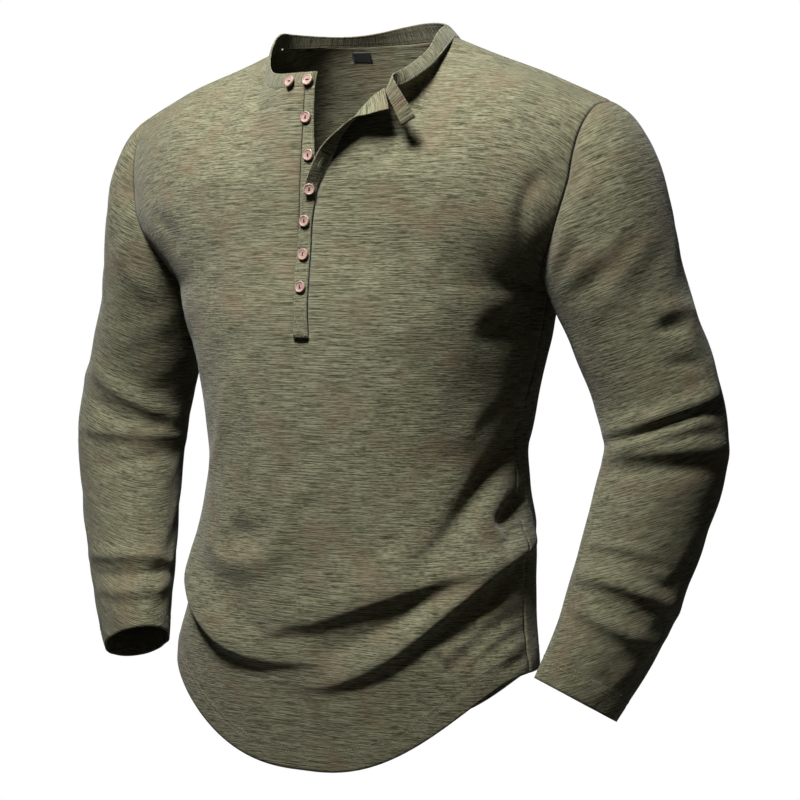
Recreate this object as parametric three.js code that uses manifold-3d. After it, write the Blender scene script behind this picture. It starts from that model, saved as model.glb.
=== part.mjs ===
// A long-sleeved henley shirt, filled out as it is when worn, with nobody in it.
// Millimetres. +X is the wearer's left, the front faces -Y and +Z is up.
// The origin is the middle of the neck opening, level with the top of the neckband at the shoulders.
import * as THREE from 'three';
import Module from 'manifold-3d';
import { mergeVertices } from 'three/addons/utils/BufferGeometryUtils.js';

// Cloth and seams
const JERSEY = 1.5;
const DOUBLED_JERSEY = 2;
const SEAM_GAP = 0.3;
const ARMHOLE_GAP = 0.35;

// Which panel, and which side of the wearer
const FRONT = 0;
const BACK = 1;
const RIGHT = -1;
const LEFT = 1;

// Heights on the body
const UNDERARM_Z = -256;
const CHEST_Z = -150;
const HEM_SIDE_Z = -625;
const HEM_DROP = [97, 82];
const HEM_POWER = [2.4, 4];

// Grid of each torso half: rows from the hem up, columns from the centre to the side
// The rows below the underarm stand closer where the cloth folds most: each band goes up to a share of the way
const SKIRT_BANDS = [
  { to: 0.1, rows: 4 },
  { to: 0.42, rows: 13 },
  { to: 0.9, rows: 8 },
  { to: 1, rows: 2 },
];
const CHEST_ROWS = 5;
const YOKE_ROWS = 6;
const NECK_COLUMNS = 6;
const SHOULDER_COLUMNS = 7;
const HALF_COLUMNS = NECK_COLUMNS + SHOULDER_COLUMNS;
// Share of a half panel that ends at the neck seam
const NECK_SHARE = 0.34;

// Sections of the torso: the side seam, and the centre line of the front and of the back
const TORSO = [
  { z: -725, halfWidth: 200, sideY: -5, frontY: -102, backY: 98 },
  { z: -620, halfWidth: 197, sideY: -3, frontY: -103, backY: 106 },
  { z: -568, halfWidth: 186, sideY: 9, frontY: -104, backY: 120 },
  { z: -508, halfWidth: 179, sideY: 22, frontY: -105, backY: 136 },
  { z: -428, halfWidth: 166, sideY: 30, frontY: -105, backY: 146 },
  { z: -368, halfWidth: 174, sideY: 33, frontY: -106, backY: 149 },
  { z: -328, halfWidth: 184, sideY: 33, frontY: -106, backY: 149 },
  { z: -280, halfWidth: 199, sideY: 26, frontY: -105, backY: 146 },
  { z: -256, halfWidth: 203, sideY: 22, frontY: -102, backY: 143 },
  { z: -210, halfWidth: 203, sideY: 22, frontY: -97, backY: 136 },
  { z: -150, halfWidth: 203, sideY: 22, frontY: -94, backY: 124 },
  { z: -100, halfWidth: 203, sideY: 22, frontY: -89, backY: 112 },
  { z: -62, halfWidth: 203, sideY: 22, frontY: -85, backY: 101 },
  { z: -8, halfWidth: 203, sideY: 22, frontY: -78, backY: 78 },
];
const ROUNDNESS = 0.87;
// Length of a half panel from the centre line to the side seam, for placing folds
const HALF_GIRTH = 250;

// Lower half of each armhole on the wearer's left, from the underarm to the chest line
const ARMHOLE = [
  [
    { x: 203, y: 22, z: -256 },
    { x: 212, y: -10, z: -240 },
    { x: 231, y: -30, z: -210 },
    { x: 243, y: -35, z: -182 },
    { x: 250, y: -30, z: -154 },
  ],
  [
    { x: 203, y: 22, z: -256 },
    { x: 212, y: 55, z: -240 },
    { x: 228, y: 80, z: -210 },
    { x: 240, y: 87, z: -182 },
    { x: 246, y: 84, z: -156 },
  ],
];
// How far each panel wraps round at the chest line, in degrees
const CHEST_WRAP = [56, 62];

// Shoulder seams, on the wearer's right and left, and how far the back rises behind them
const SHOULDER_TIP = { [RIGHT]: { x: -262, y: 29, z: -73 }, [LEFT]: { x: 262, y: 29, z: -80 } };
const NECK_POINT = { [RIGHT]: { x: -97, y: 18, z: -12 }, [LEFT]: { x: 104, y: 18, z: -11 } };
const BACK_RIDGE = 9;

// Neck seam
const NECK_X = 2;
const NECK_FRONT_DEPTH = 103;
const NECK_BACK_DEPTH = 60;
const NECK_FRONT_Z = -62;
const NECK_BACK_Z = -8;
// Neck seam on the wearer's left, pulled open, from the corner of the placket to the shoulder,
// with the top edge of the neckband above it
const OPEN_NECK = [
  { x: 87, y: -88, z: -69, topX: 97, topY: -88, topZ: -54 },
  { x: 97, y: -84, z: -67, topX: 98.5, topY: -86, topZ: -53.5 },
  { x: 106, y: -74, z: -61, topX: 100.5, topY: -76, topZ: -49 },
  { x: 110.5, y: -55, z: -50.5, topX: 102, topY: -57, topZ: -40 },
  { x: 112, y: -33, z: -38.5, topX: 104, topY: -36, topZ: -27.5 },
  { x: 110, y: -8, z: -23.5, topX: 100, topY: -10, topZ: -9 },
  { x: 104, y: 18, z: -11, topX: 92, topY: 18, topZ: 1 },
];

// Placket slot
const SLOT_LEFT_X = 11;
const SLOT_RIGHT_X = -5;
const SLOT_BOTTOM_Z = -300;
// Over placket: the edge sewn to the slot swings out above the fourth button, and the free edge turns over with it.
// proud is how far the sewn edge stands in front of the cloth.
const OVER_PLACKET = [
  { z: -304, x: 13, y: -106, proud: 2.7, freeX: -4, freeY: -108.7, freeZ: -304 },
  { z: -275, x: 11, y: -104.5, proud: 2.7, freeX: -4.7, freeY: -107.3, freeZ: -275 },
  { z: -245, x: 11, y: -101.5, proud: 2.7, freeX: -5, freeY: -104.2, freeZ: -245 },
  { z: -215, x: 11, y: -97.5, proud: 2.7, freeX: -4, freeY: -100.3, freeZ: -216 },
  { z: -193, x: 12, y: -97, proud: 2.7, freeX: -2, freeY: -99.8, freeZ: -193 },
  { z: -175, x: 14.5, y: -96, proud: 2.7, freeX: 1, freeY: -99.5, freeZ: -175 },
  { z: -161, x: 17.5, y: -95.5, proud: 2.5, freeX: 5, freeY: -102, freeZ: -160 },
  { z: -148, x: 23.5, y: -95, proud: 2, freeX: 14, freeY: -107, freeZ: -146 },
  { z: -136, x: 30, y: -94.5, proud: 1.4, freeX: 22, freeY: -108, freeZ: -131 },
  { z: -122, x: 38.5, y: -94, proud: 1, freeX: 33, freeY: -109, freeZ: -119 },
  { z: -107, x: 48, y: -94, proud: 0.8, freeX: 46, freeY: -108, freeZ: -109 },
  { z: -95, x: 58, y: -93, proud: 0.6, freeX: 64, freeY: -106, freeZ: -97 },
  { z: -83, x: 69, y: -92, proud: 0.6, freeX: 76, freeY: -104, freeZ: -95 },
  { z: -75, x: 78, y: -91, proud: 0.6, freeX: 87, freeY: -101, freeZ: -92 },
  { z: -69, x: 87, y: -88, proud: 0.6, freeX: 97, freeY: -98, freeZ: -90 },
];
// Free edge of the under placket, which lies flush in the slot
const UNDER_PLACKET = [
  { z: -299.5, freeX: 10.6 },
  { z: -200, freeX: 10.6 },
  { z: -170, freeX: 12 },
  { z: -145, freeX: 12 },
  { z: -125, freeX: 10 },
  { z: -95, freeX: 7.5 },
  { z: -62.5, freeX: 6.5 },
];
const UNDER_PLACKET_ROWS = 12;

// Neckband: how far its top edge stands in from and above the neck seam
const BAND_FRONT = { inward: 4, rise: 14 };
const BAND_SIDE = { [RIGHT]: { inward: 4, rise: 15 }, [LEFT]: { inward: 12, rise: 11 } };
const BAND_BACK = { inward: 8, rise: 14 };
// The open collar stands higher behind the wearer's left
const BAND_TILT = 0.12;
const BAND_START_X = 7;
// The wearer's left end of the band is folded out. Each row has its lower edge and its top edge.
const BAND_END = [
  { x: 93, y: -88, z: -69, topX: 97.5, topY: -89.5, topZ: -55.5 },
  { x: 91.5, y: -91, z: -70.5, topX: 98, topY: -92, topZ: -58 },
  { x: 92.5, y: -94.5, z: -72.5, topX: 100.5, topY: -95, topZ: -60.5 },
  { x: 96, y: -96.5, z: -79, topX: 106, topY: -96.5, topZ: -69 },
  { x: 102, y: -96, z: -91, topX: 115, topY: -95, topZ: -83 },
  { x: 109, y: -95, z: -105, topX: 123, topY: -93.5, topZ: -97 },
];

// Sleeves: centre line, half sizes and turn of the sections, from the cuff to the upper arm. x runs outwards.
const SLEEVE = {
  [RIGHT]: [
    { z: -630, x: 261, y: -15, major: 45, minor: 33, turn: 33 },
    { z: -600, x: 273, y: -3, major: 48, minor: 38, turn: 32 },
    { z: -548, x: 290, y: 17, major: 53, minor: 45, turn: 28 },
    { z: -474, x: 307, y: 38, major: 57, minor: 52, turn: 20 },
    { z: -409, x: 315, y: 52, major: 61, minor: 58, turn: 10 },
    { z: -350, x: 300, y: 50, major: 60, minor: 57, turn: 0 },
    { z: -290, x: 277, y: 40, major: 60, minor: 58, turn: 0 },
  ],
  [LEFT]: [
    { z: -643, x: 254, y: -20, major: 44, minor: 32, turn: 33 },
    { z: -600, x: 271, y: -3, major: 48, minor: 37, turn: 32 },
    { z: -548, x: 286, y: 17, major: 53, minor: 45, turn: 28 },
    { z: -474, x: 303, y: 38, major: 57, minor: 52, turn: 20 },
    { z: -409, x: 314, y: 52, major: 59, minor: 56, turn: 10 },
    { z: -350, x: 303, y: 50, major: 61, minor: 57, turn: 0 },
    { z: -290, x: 283, y: 40, major: 62, minor: 58, turn: 0 },
  ],
};
const CAP_RINGS = 9;
const ARM_RINGS = 24;
// Way the sleeve leaves the armhole: at the underarm, the front, the shoulder and the back
const CAP_LEAVES = {
  underarm: new THREE.Vector3(0.25, 0.1, -0.96),
  front: new THREE.Vector3(0.75, -0.35, -0.55),
  shoulder: new THREE.Vector3(0.9, 0, -0.43),
  back: new THREE.Vector3(0.7, 0.45, -0.55),
};

// Size label, on the inside of the back below the neckband, towards the wearer's right.
// It fills part of one cell of the panel: column and share of its width, share of the height of the top row of cells.
const LABEL = { column: 1, fromAcross: 0.1, toAcross: 1, fromUp: 0.2, toUp: 0.7 };
const LABEL_CLOTH = 0.8;

// Buttons: middle of the back of each, on the cloth that carries it
const BUTTON_SEAT = 0.3;
const BUTTON_SIDES = 14;
const BUTTON_PROFILE = [
  { r: 5.0, h: 0 },
  { r: 5.6, h: 1.2 },
  { r: 5.2, h: 2.6 },
  { r: 4.5, h: 2.7 },
  { r: 3.9, h: 2.0 },
];
const HOLE = { radius: 0.8, apart: 2.6, sides: 6 };
const BUTTONS = [
  { x: -22.8, y: -82.2, z: -57, turn: 90, side: -17, tilt: 18 },
  { x: -0.5, y: -85.4, z: -57, turn: 90, side: -2, tilt: 18 },
  { x: -0.6, y: -88.5, z: -92.5, turn: 0, side: 0, tilt: 6 },
  { x: 4.6, y: -92.6, z: -129, turn: 8, side: 0, tilt: 5 },
  { x: 11, y: -101.6, z: -162, turn: -4, side: 22, tilt: -2 },
  { x: 4.9, y: -100.2, z: -192, turn: 4, side: 0, tilt: 2 },
  { x: 4.6, y: -102, z: -224, turn: -6, side: 0, tilt: 7 },
  { x: 3.6, y: -105.7, z: -255, turn: 6, side: 0, tilt: 6 },
];

const OLIVE = 0x565440;
const WOOD = 0xa58277;
const BLACK = 0x111110;

// Largest folds. Each is a ridge, or a trough where its height is negative, on a curve through three places,
// and it falls off over one width above the curve and another below it.
// g goes round the body in mm: 0 at the placket, 250 at the wearer's left side, 500 at the centre back.
// t is 0 at the hem, 1 at the underarm, 2 at the chest line and 3 at the top.
const TORSO_FOLDS = [
  { g0: -2, t0: 0.175, g1: 120, t1: 0.245, g2: 300, t2: 0.335, height: 9, above: 20, below: 12 },
  { g0: -215, t0: 0.3, g1: -100, t1: 0.225, g2: 12, t2: 0.235, height: 9, above: 26, below: 12 },
  { g0: -25, t0: 0.267, g1: 61, t1: 0.346, g2: 200, t2: 0.29, height: 7, above: 34, below: 14 },
  { g0: 280, t0: 0.692, g1: 178, t1: 0.479, g2: 86, t2: 0.367, height: -6, above: 14, below: 14 },
  { g0: 275, t0: 0.462, g1: 238, t1: 0.421, g2: 205, t2: 0.385, height: -7, above: 13, below: 13 },
  { g0: 250, t0: 0.97, g1: 197, t1: 0.908, g2: 150, t2: 0.875, height: -7, above: 16, below: 20 },
  { g0: 330, t0: 0.3, g1: 480, t1: 0.22, g2: 640, t2: 0.3, height: 8, above: 24, below: 12 },
  { g0: 300, t0: 0.4, g1: 430, t1: 0.33, g2: 560, t2: 0.36, height: 6, above: 24, below: 12 },
  { g0: 290, t0: 0.6, g1: 380, t1: 0.48, g2: 470, t2: 0.42, height: -5, above: 14, below: 14 },
  { g0: 710, t0: 0.62, g1: 620, t1: 0.49, g2: 520, t2: 0.44, height: -5, above: 14, below: 14 },
];
// angle goes round the arm in degrees from the underarm seam up the front.
// w is 0 at the armhole, 1 at the top of the arm and 2 at the cuff.
const SLEEVE_FOLDS = {
  [RIGHT]: [
    { angle0: 125, w0: 1.163, angle1: 59, w1: 1.213, angle2: -10, w2: 1.277, height: 5, above: 12, below: 12 },
    { angle0: 125, w0: 1.353, angle1: 57, w1: 1.383, angle2: -30, w2: 1.353, height: 5, above: 12, below: 12 },
    { angle0: 132, w0: 1.743, angle1: 54, w1: 1.795, angle2: -20, w2: 1.785, height: 6, above: 12, below: 11 },
    { angle0: 120, w0: 1.843, angle1: 53, w1: 1.903, angle2: -22, w2: 1.85, height: 5, above: 11, below: 11 },
    { angle0: 140, w0: 1.2, angle1: 200, w1: 1.26, angle2: 260, w2: 1.28, height: 4, above: 12, below: 12 },
    { angle0: 150, w0: 1.74, angle1: 220, w1: 1.72, angle2: 300, w2: 1.74, height: 5, above: 12, below: 12 },
  ],
  [LEFT]: [
    { angle0: 30, w0: 1.273, angle1: 113, w1: 1.243, angle2: 190, w2: 1.22, height: 6, above: 11, below: 10 },
    { angle0: 25, w0: 1.417, angle1: 111, w1: 1.343, angle2: 195, w2: 1.335, height: 5, above: 11, below: 11 },
    { angle0: 40, w0: 1.733, angle1: 114, w1: 1.713, angle2: 205, w2: 1.723, height: 6, above: 12, below: 11 },
    { angle0: 55, w0: 1.8, angle1: 117, w1: 1.82, angle2: 190, w2: 1.8, height: 5, above: 12, below: 11 },
    { angle0: 200, w0: 1.33, angle1: 260, w1: 1.36, angle2: 320, w2: 1.36, height: 4, above: 12, below: 12 },
    { angle0: 200, w0: 1.78, angle1: 270, w1: 1.76, angle2: 340, w2: 1.78, height: 4, above: 12, below: 12 },
  ],
};
const FOLD_STEPS = 20;
const jersey = new THREE.MeshStandardMaterial({ name: 'slub_jersey', color: OLIVE, roughness: 0.92, metalness: 0 });
const wood = new THREE.MeshStandardMaterial({ name: 'wood', color: WOOD, roughness: 0.5, metalness: 0 });
const satin = new THREE.MeshStandardMaterial({ name: 'black_satin', color: BLACK, roughness: 0.6, metalness: 0 });

const lerp = THREE.MathUtils.lerp;
const smooth = THREE.MathUtils.smoothstep;
const radians = THREE.MathUtils.degToRad;
const vector = (p) => new THREE.Vector3(p.x, p.y, p.z);

// Value at t of the smooth curve through the knots
function splineAt(knots, values, t) {
  const last = knots.length - 1;
  let i = 0;
  while (i < last - 1 && t > knots[i + 1]) i++;
  const slope = (k) => {
    const before = Math.max(k - 1, 0);
    const after = Math.min(k + 1, last);
    return (values[after] - values[before]) / (knots[after] - knots[before]);
  };
  const span = knots[i + 1] - knots[i];
  const f = (t - knots[i]) / span;
  const rise = values[i + 1] - values[i];
  const a = slope(i) * span - rise;
  const b = rise - slope(i + 1) * span;
  return values[i] + f * rise + f * (1 - f) * (a * (1 - f) + b * f);
}

// One column of a table that is sorted by height
function columnAt(table, name, z) {
  return splineAt(table.map((row) => row.z), table.map((row) => row[name]), z);
}

// Point at share t of the smooth curve that passes the rows of a table at equal shares
function rowsAt(table, t) {
  const knots = table.map((row, i) => i / (table.length - 1));
  const value = (name) => splineAt(knots, table.map((row) => row[name]), t);
  return new THREE.Vector3(value('x'), value('y'), value('z'));
}

// Point at share t of the length of the smooth curve through a table of points
function pathAt(table, t) {
  const knots = [0];
  for (let i = 1; i < table.length; i++) {
    knots.push(knots[i - 1] + vector(table[i]).distanceTo(vector(table[i - 1])));
  }
  const at = t * knots[knots.length - 1];
  const value = (name) => splineAt(knots, table.map((p) => p[name]), at);
  return new THREE.Vector3(value('x'), value('y'), value('z'));
}

// Where a half panel starts beside the centre, at height z
function startPoint(face, side, z) {
  if (face === BACK) return new THREE.Vector3(0, columnAt(TORSO, 'backY', z), z);
  const y = columnAt(TORSO, 'frontY', z);
  if (side === RIGHT) return new THREE.Vector3(SLOT_RIGHT_X, y, z);
  if (z < SLOT_BOTTOM_Z) return new THREE.Vector3(SLOT_LEFT_X, y, z);
  return new THREE.Vector3(columnAt(OVER_PLACKET, 'x', z), columnAt(OVER_PLACKET, 'y', z), z);
}

// Curve from the start point to the edge: share s of the way round, and how far the whole curve wraps
function roundTo(start, edge, s, wrap) {
  const angle = s * wrap;
  const across = Math.pow(Math.sin(angle) / Math.sin(wrap), ROUNDNESS);
  const deep = (1 - Math.pow(Math.max(Math.cos(angle), 0), ROUNDNESS)) / (1 - Math.pow(Math.cos(wrap), ROUNDNESS));
  return new THREE.Vector3(lerp(start.x, edge.x, across), lerp(start.y, edge.y, deep), lerp(start.z, edge.z, s));
}

// From the hem to the underarm, f from 0 to 1
function skirtPoint(face, side, s, f) {
  const quarter = Math.PI / 2;
  const drop = HEM_DROP[face] * Math.cos(s * quarter) ** HEM_POWER[face];
  const z = lerp(HEM_SIDE_Z - drop, UNDERARM_Z, f);
  const edge = new THREE.Vector3(side * columnAt(TORSO, 'halfWidth', z), columnAt(TORSO, 'sideY', z), z);
  return roundTo(startPoint(face, side, z), edge, s, quarter);
}

// From the underarm to the chest line, f from 0 to 1
function chestPoint(face, side, s, f) {
  const edge = pathAt(ARMHOLE[face], f);
  edge.x *= side;
  const start = startPoint(face, side, lerp(UNDERARM_Z, CHEST_Z, f));
  return roundTo(start, edge, s, radians(lerp(90, CHEST_WRAP[face], f)));
}

// Neck seam, f from 0 at the placket or the centre back to 1 at the shoulder
function neckPoint(face, side, f) {
  if (face === FRONT && side === LEFT) return rowsAt(OPEN_NECK, f);
  const shoulder = NECK_POINT[side];
  const middleX = face === FRONT ? NECK_X : 0;
  const first = face === FRONT ? Math.asin((NECK_X - SLOT_RIGHT_X) / (NECK_X - shoulder.x)) : 0;
  return neckRing(face, shoulder, middleX, lerp(first, Math.PI / 2, f));
}

// Point on the neck seam at an angle from the centre line
function neckRing(face, shoulder, middleX, angle) {
  const depth = face === FRONT ? -NECK_FRONT_DEPTH : NECK_BACK_DEPTH;
  const low = face === FRONT ? NECK_FRONT_Z : NECK_BACK_Z;
  return new THREE.Vector3(
    lerp(middleX, shoulder.x, Math.sin(angle)),
    shoulder.y + depth * Math.cos(angle),
    lerp(low, shoulder.z, Math.sin(angle) ** 6),
  );
}

// Upper edge of a half panel: the neck seam, then the shoulder seam
function topPoint(face, side, s) {
  if (s <= NECK_SHARE) return neckPoint(face, side, s / NECK_SHARE);
  const f = (s - NECK_SHARE) / (1 - NECK_SHARE);
  return vector(NECK_POINT[side]).lerp(vector(SHOULDER_TIP[side]), f);
}

// From the chest line over to the neck and the shoulder seam, f from 0 to 1
function yokePoint(face, side, s, f) {
  const low = chestPoint(face, side, s, 1);
  const top = topPoint(face, side, s);
  const round = lerp(0.1, 0.5, smooth(s, 0, NECK_SHARE)) + 0.5 * smooth(s, NECK_SHARE, 0.75);
  const quarter = (f * Math.PI) / 2;
  const up = lerp(f, Math.sin(quarter), round);
  const over = lerp(f, 1 - Math.cos(quarter), round);
  const point = new THREE.Vector3(lerp(low.x, top.x, f), lerp(low.y, top.y, over), lerp(low.z, top.z, up));
  if (face === BACK) point.z += BACK_RIDGE * 4 * f * f * (1 - f) * smooth(s, 0, NECK_SHARE);
  if (face === FRONT && side === LEFT && s < 0.6) {
    const bottom = startPoint(face, side, CHEST_Z);
    const z = lerp(CHEST_Z, OVER_PLACKET.at(-1).z, f);
    const straight = bottom.lerp(vector(OPEN_NECK[0]), f);
    point.add(startPoint(face, side, z).sub(straight).multiplyScalar((1 - s / 0.6) ** 2));
  }
  return point;
}

// Point of a half panel: t is 0 at the hem, 1 at the underarm, 2 at the chest line and 3 at the top
function torsoPoint(face, side, s, t) {
  let point;
  if (t <= 1) point = skirtPoint(face, side, s, t);
  else if (t <= 2) point = chestPoint(face, side, s, t - 1);
  else point = yokePoint(face, side, s, t - 2);
  return point;
}

// Point of the torso at g round the body
function bodyPoint(g, t) {
  const around = g > HALF_GIRTH * 2 ? g - HALF_GIRTH * 4 : g;
  const side = around < 0 ? RIGHT : LEFT;
  const way = Math.abs(around) / HALF_GIRTH;
  return way <= 1 ? torsoPoint(FRONT, side, way, t) : torsoPoint(BACK, side, 2 - way, t);
}

// Points along each fold. pointAt gives the point of the smooth form at two coordinates.
function foldLines(folds, [a, b], pointAt) {
  return folds.map((fold) => {
    const points = [];
    for (let i = 0; i <= FOLD_STEPS; i++) {
      const f = i / FOLD_STEPS;
      const shares = [(1 - f) * (1 - 2 * f), 4 * f * (1 - f), f * (2 * f - 1)];
      const at = (name) => shares.reduce((sum, share, k) => sum + share * fold[name + k], 0);
      points.push(pointAt(at(a), at(b)));
    }
    return { ...fold, points };
  });
}

// How far the folds lift a point of the smooth form
function liftAt(point, lines) {
  const segment = new THREE.Line3();
  const foot = new THREE.Vector3();
  let lift = 0;
  for (const { points, height, above, below } of lines) {
    let nearest = Infinity;
    let share = 0;
    let z = 0;
    for (let i = 1; i < points.length; i++) {
      segment.set(points[i - 1], points[i]);
      const f = segment.closestPointToPointParameter(point, true);
      segment.at(f, foot);
      const distance = foot.distanceTo(point);
      if (distance >= nearest) continue;
      nearest = distance;
      share = (i - 1 + f) / FOLD_STEPS;
      z = foot.z;
    }
    const width = point.z > z ? above : below;
    lift += height * Math.max(Math.sin(Math.PI * share), 0) ** 0.7 * Math.exp(-((nearest / width) ** 2));
  }
  return lift;
}

// Rows of the torso as t values
function torsoRows() {
  const rows = [0];
  let from = 0;
  for (const band of SKIRT_BANDS) {
    for (let i = 1; i <= band.rows; i++) rows.push(lerp(from, band.to, i / band.rows));
    from = band.to;
  }
  rows.pop();
  for (let i = 0; i < CHEST_ROWS; i++) rows.push(1 + i / CHEST_ROWS);
  for (let i = 0; i <= YOKE_ROWS; i++) rows.push(2 + i / YOKE_ROWS);
  return rows;
}

// Share of the half panel at column j: even steps under the neck, then even steps under the shoulder
function columnShare(j) {
  if (j <= NECK_COLUMNS) return (NECK_SHARE * j) / NECK_COLUMNS;
  return lerp(NECK_SHARE, 1, (j - NECK_COLUMNS) / SHOULDER_COLUMNS);
}

// Mean normal of each point of an open sheet
function sheetNormals(points, faces) {
  const normals = points.map(() => new THREE.Vector3());
  const ab = new THREE.Vector3();
  const ac = new THREE.Vector3();
  for (const [a, b, c] of faces) {
    ab.subVectors(points[b], points[a]);
    ac.subVectors(points[c], points[a]);
    ab.cross(ac);
    for (const i of [a, b, c]) normals[i].add(ab);
  }
  return normals.map((n) => n.normalize());
}

// Closed wall between the outer points of a sheet and the same points moved inwards
function wallGeometry(points, faces, normals, cloth) {
  const count = points.length;
  const inner = points.map((p, i) => p.clone().addScaledVector(normals[i], -cloth));
  const index = [];
  const edges = new Map();
  for (const [a, b, c] of faces) {
    index.push(a, b, c, count + a, count + c, count + b);
    for (const [from, to] of [[a, b], [b, c], [c, a]]) edges.set(`${from},${to}`, [from, to]);
  }
  for (const [from, to] of edges.values()) {
    if (edges.has(`${to},${from}`)) continue;
    index.push(to, from, count + from, to, count + from, count + to);
  }
  const geometry = new THREE.BufferGeometry();
  geometry.setAttribute('position', new THREE.BufferAttribute(
    new Float32Array([...points, ...inner].flatMap((p) => [p.x, p.y, p.z])), 3));
  geometry.setIndex(index);
  geometry.computeVertexNormals();
  return geometry;
}

// Triangles of a grid of rows by columns. keep says which cells are cloth; loop joins the last column to the first.
function gridFaces(rows, columns, keep = () => true, loop = false, flip = false) {
  const faces = [];
  const cells = loop ? columns : columns - 1;
  for (let i = 0; i < rows - 1; i++) {
    for (let j = 0; j < cells; j++) {
      if (!keep(i, j)) continue;
      const a = i * columns + j;
      const b = i * columns + ((j + 1) % columns);
      const c = b + columns;
      const d = a + columns;
      const quad = (i + j) % 2 ? [[a, b, c], [a, c, d]] : [[a, b, d], [b, c, d]];
      faces.push(...(flip ? quad.map((q) => [q[0], q[2], q[1]]) : quad));
    }
  }
  return faces;
}

// Drops the points that no triangle uses
function usedOnly(points, faces) {
  const map = new Map();
  for (const face of faces) for (const i of face) if (!map.has(i)) map.set(i, map.size);
  const kept = [];
  for (const [from, to] of map) kept[to] = points[from];
  return { points: kept, faces: faces.map((face) => face.map((i) => map.get(i))), map };
}

// Share of the folds' height at a place on the torso: none at the armholes, the slot and the neck
function torsoFade(face, side, s, t, z) {
  const armhole = smooth(s, 0.9, 1) * smooth(t, 0.9, 1);
  const slot = face === FRONT && z > SLOT_BOTTOM_Z - 10 ? 1 - smooth(s * HALF_GIRTH, 6, 24) : 0;
  const top = smooth(t, 2.5, 3);
  return side === 0 && slot > 0 ? 0 : (1 - armhole) * (1 - slot) * (1 - top);
}

// Outer points of a whole torso panel, from the wearer's right to the left as seen from the front
function torsoPanel(face) {
  const rows = torsoRows();
  const columns = [];
  for (let j = HALF_COLUMNS; j >= 0; j--) columns.push({ side: RIGHT, s: columnShare(j) });
  if (face === FRONT) columns.push({ side: 0, s: 0 });
  for (let j = face === FRONT ? 0 : 1; j <= HALF_COLUMNS; j++) columns.push({ side: LEFT, s: columnShare(j) });
  const shift = face === FRONT ? -SEAM_GAP / 2 : SEAM_GAP / 2;
  const points = [];
  const fades = [];
  for (const t of rows) {
    for (const { side, s } of columns) {
      const p = side === 0
        ? torsoPoint(face, RIGHT, 0, t).lerp(torsoPoint(face, LEFT, 0, t), 0.5)
        : torsoPoint(face, side, s, t);
      p.y += shift;
      points.push(p);
      fades.push(torsoFade(face, side, s, t, p.z));
    }
  }
  const slotRow = rows.findIndex((t) => torsoPoint(FRONT, RIGHT, 0, t).z > SLOT_BOTTOM_Z) - 1;
  const keep = (i, j) => face === BACK || i < slotRow || (j !== HALF_COLUMNS && j !== HALF_COLUMNS + 1);
  const faces = gridFaces(rows.length, columns.length, keep, false, face === BACK);
  return { rows, columns, points, fades, faces };
}

// The two torso panels with their folds
function torsoPanels() {
  const front = torsoPanel(FRONT);
  const back = torsoPanel(BACK);
  const lines = foldLines(TORSO_FOLDS, ['g', 't'], bodyPoint);
  joinNormals(front, back);
  for (const panel of [front, back]) {
    const lifts = panel.points.map((p, i) => panel.fades[i] * liftAt(p, lines));
    panel.points.forEach((p, i) => p.addScaledVector(panel.normals[i], lifts[i]));
  }
  joinNormals(front, back);
  return [front, back];
}

// Normals of the two torso panels, which share them along the side seams and the shoulder seams
function joinNormals(front, back) {
  front.normals = sheetNormals(front.points, front.faces);
  back.normals = sheetNormals(back.points, back.faces);
  const join = (frontIndex, backIndex) => {
    const mean = front.normals[frontIndex].clone().add(back.normals[backIndex]).normalize();
    front.normals[frontIndex] = mean;
    back.normals[backIndex] = mean;
  };
  const wide = front.columns.length;
  const narrow = back.columns.length;
  for (let i = 0; front.rows[i] <= 1; i++) {
    join(i * wide, i * narrow);
    join(i * wide + wide - 1, i * narrow + narrow - 1);
  }
  const top = front.rows.length - 1;
  for (let k = 0; k <= SHOULDER_COLUMNS; k++) {
    join(top * wide + k, top * narrow + k);
    join(top * wide + wide - 1 - k, top * narrow + narrow - 1 - k);
  }
}

// Wall of a torso panel, without the points that the slot leaves over
function torsoWall(panel) {
  const used = usedOnly(panel.points, panel.faces);
  const normals = [];
  for (const [from, to] of used.map) normals[to] = panel.normals[from];
  return wallGeometry(used.points, used.faces, normals, JERSEY);
}

// Loop round an armhole, from the underarm up the front, over the shoulder and down the back.
// Each station has its point, its angle round the arm and the normal of the panel it is sewn to.
function armholeLoop(side, panels) {
  const edges = panels.map((panel, face) => {
    const wide = panel.columns.length;
    const column = side === LEFT ? wide - 1 : 0;
    const stations = [];
    panel.rows.forEach((t, i) => {
      if (t < 1) return;
      stations.push({ point: torsoPoint(face, side, 1, t), normal: panel.normals[i * wide + column] });
    });
    return stations;
  });
  edges[BACK].reverse();
  edges.forEach((stations, face) => {
    const lengths = [0];
    for (let i = 1; i < stations.length; i++) {
      lengths.push(lengths[i - 1] + stations[i].point.distanceTo(stations[i - 1].point));
    }
    stations.forEach((station, i) => {
      station.angle = Math.PI * (face + lengths[i] / lengths.at(-1));
      station.point.x += side * ARMHOLE_GAP;
    });
  });
  return [...edges[FRONT], ...edges[BACK].slice(1, -1)];
}

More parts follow.
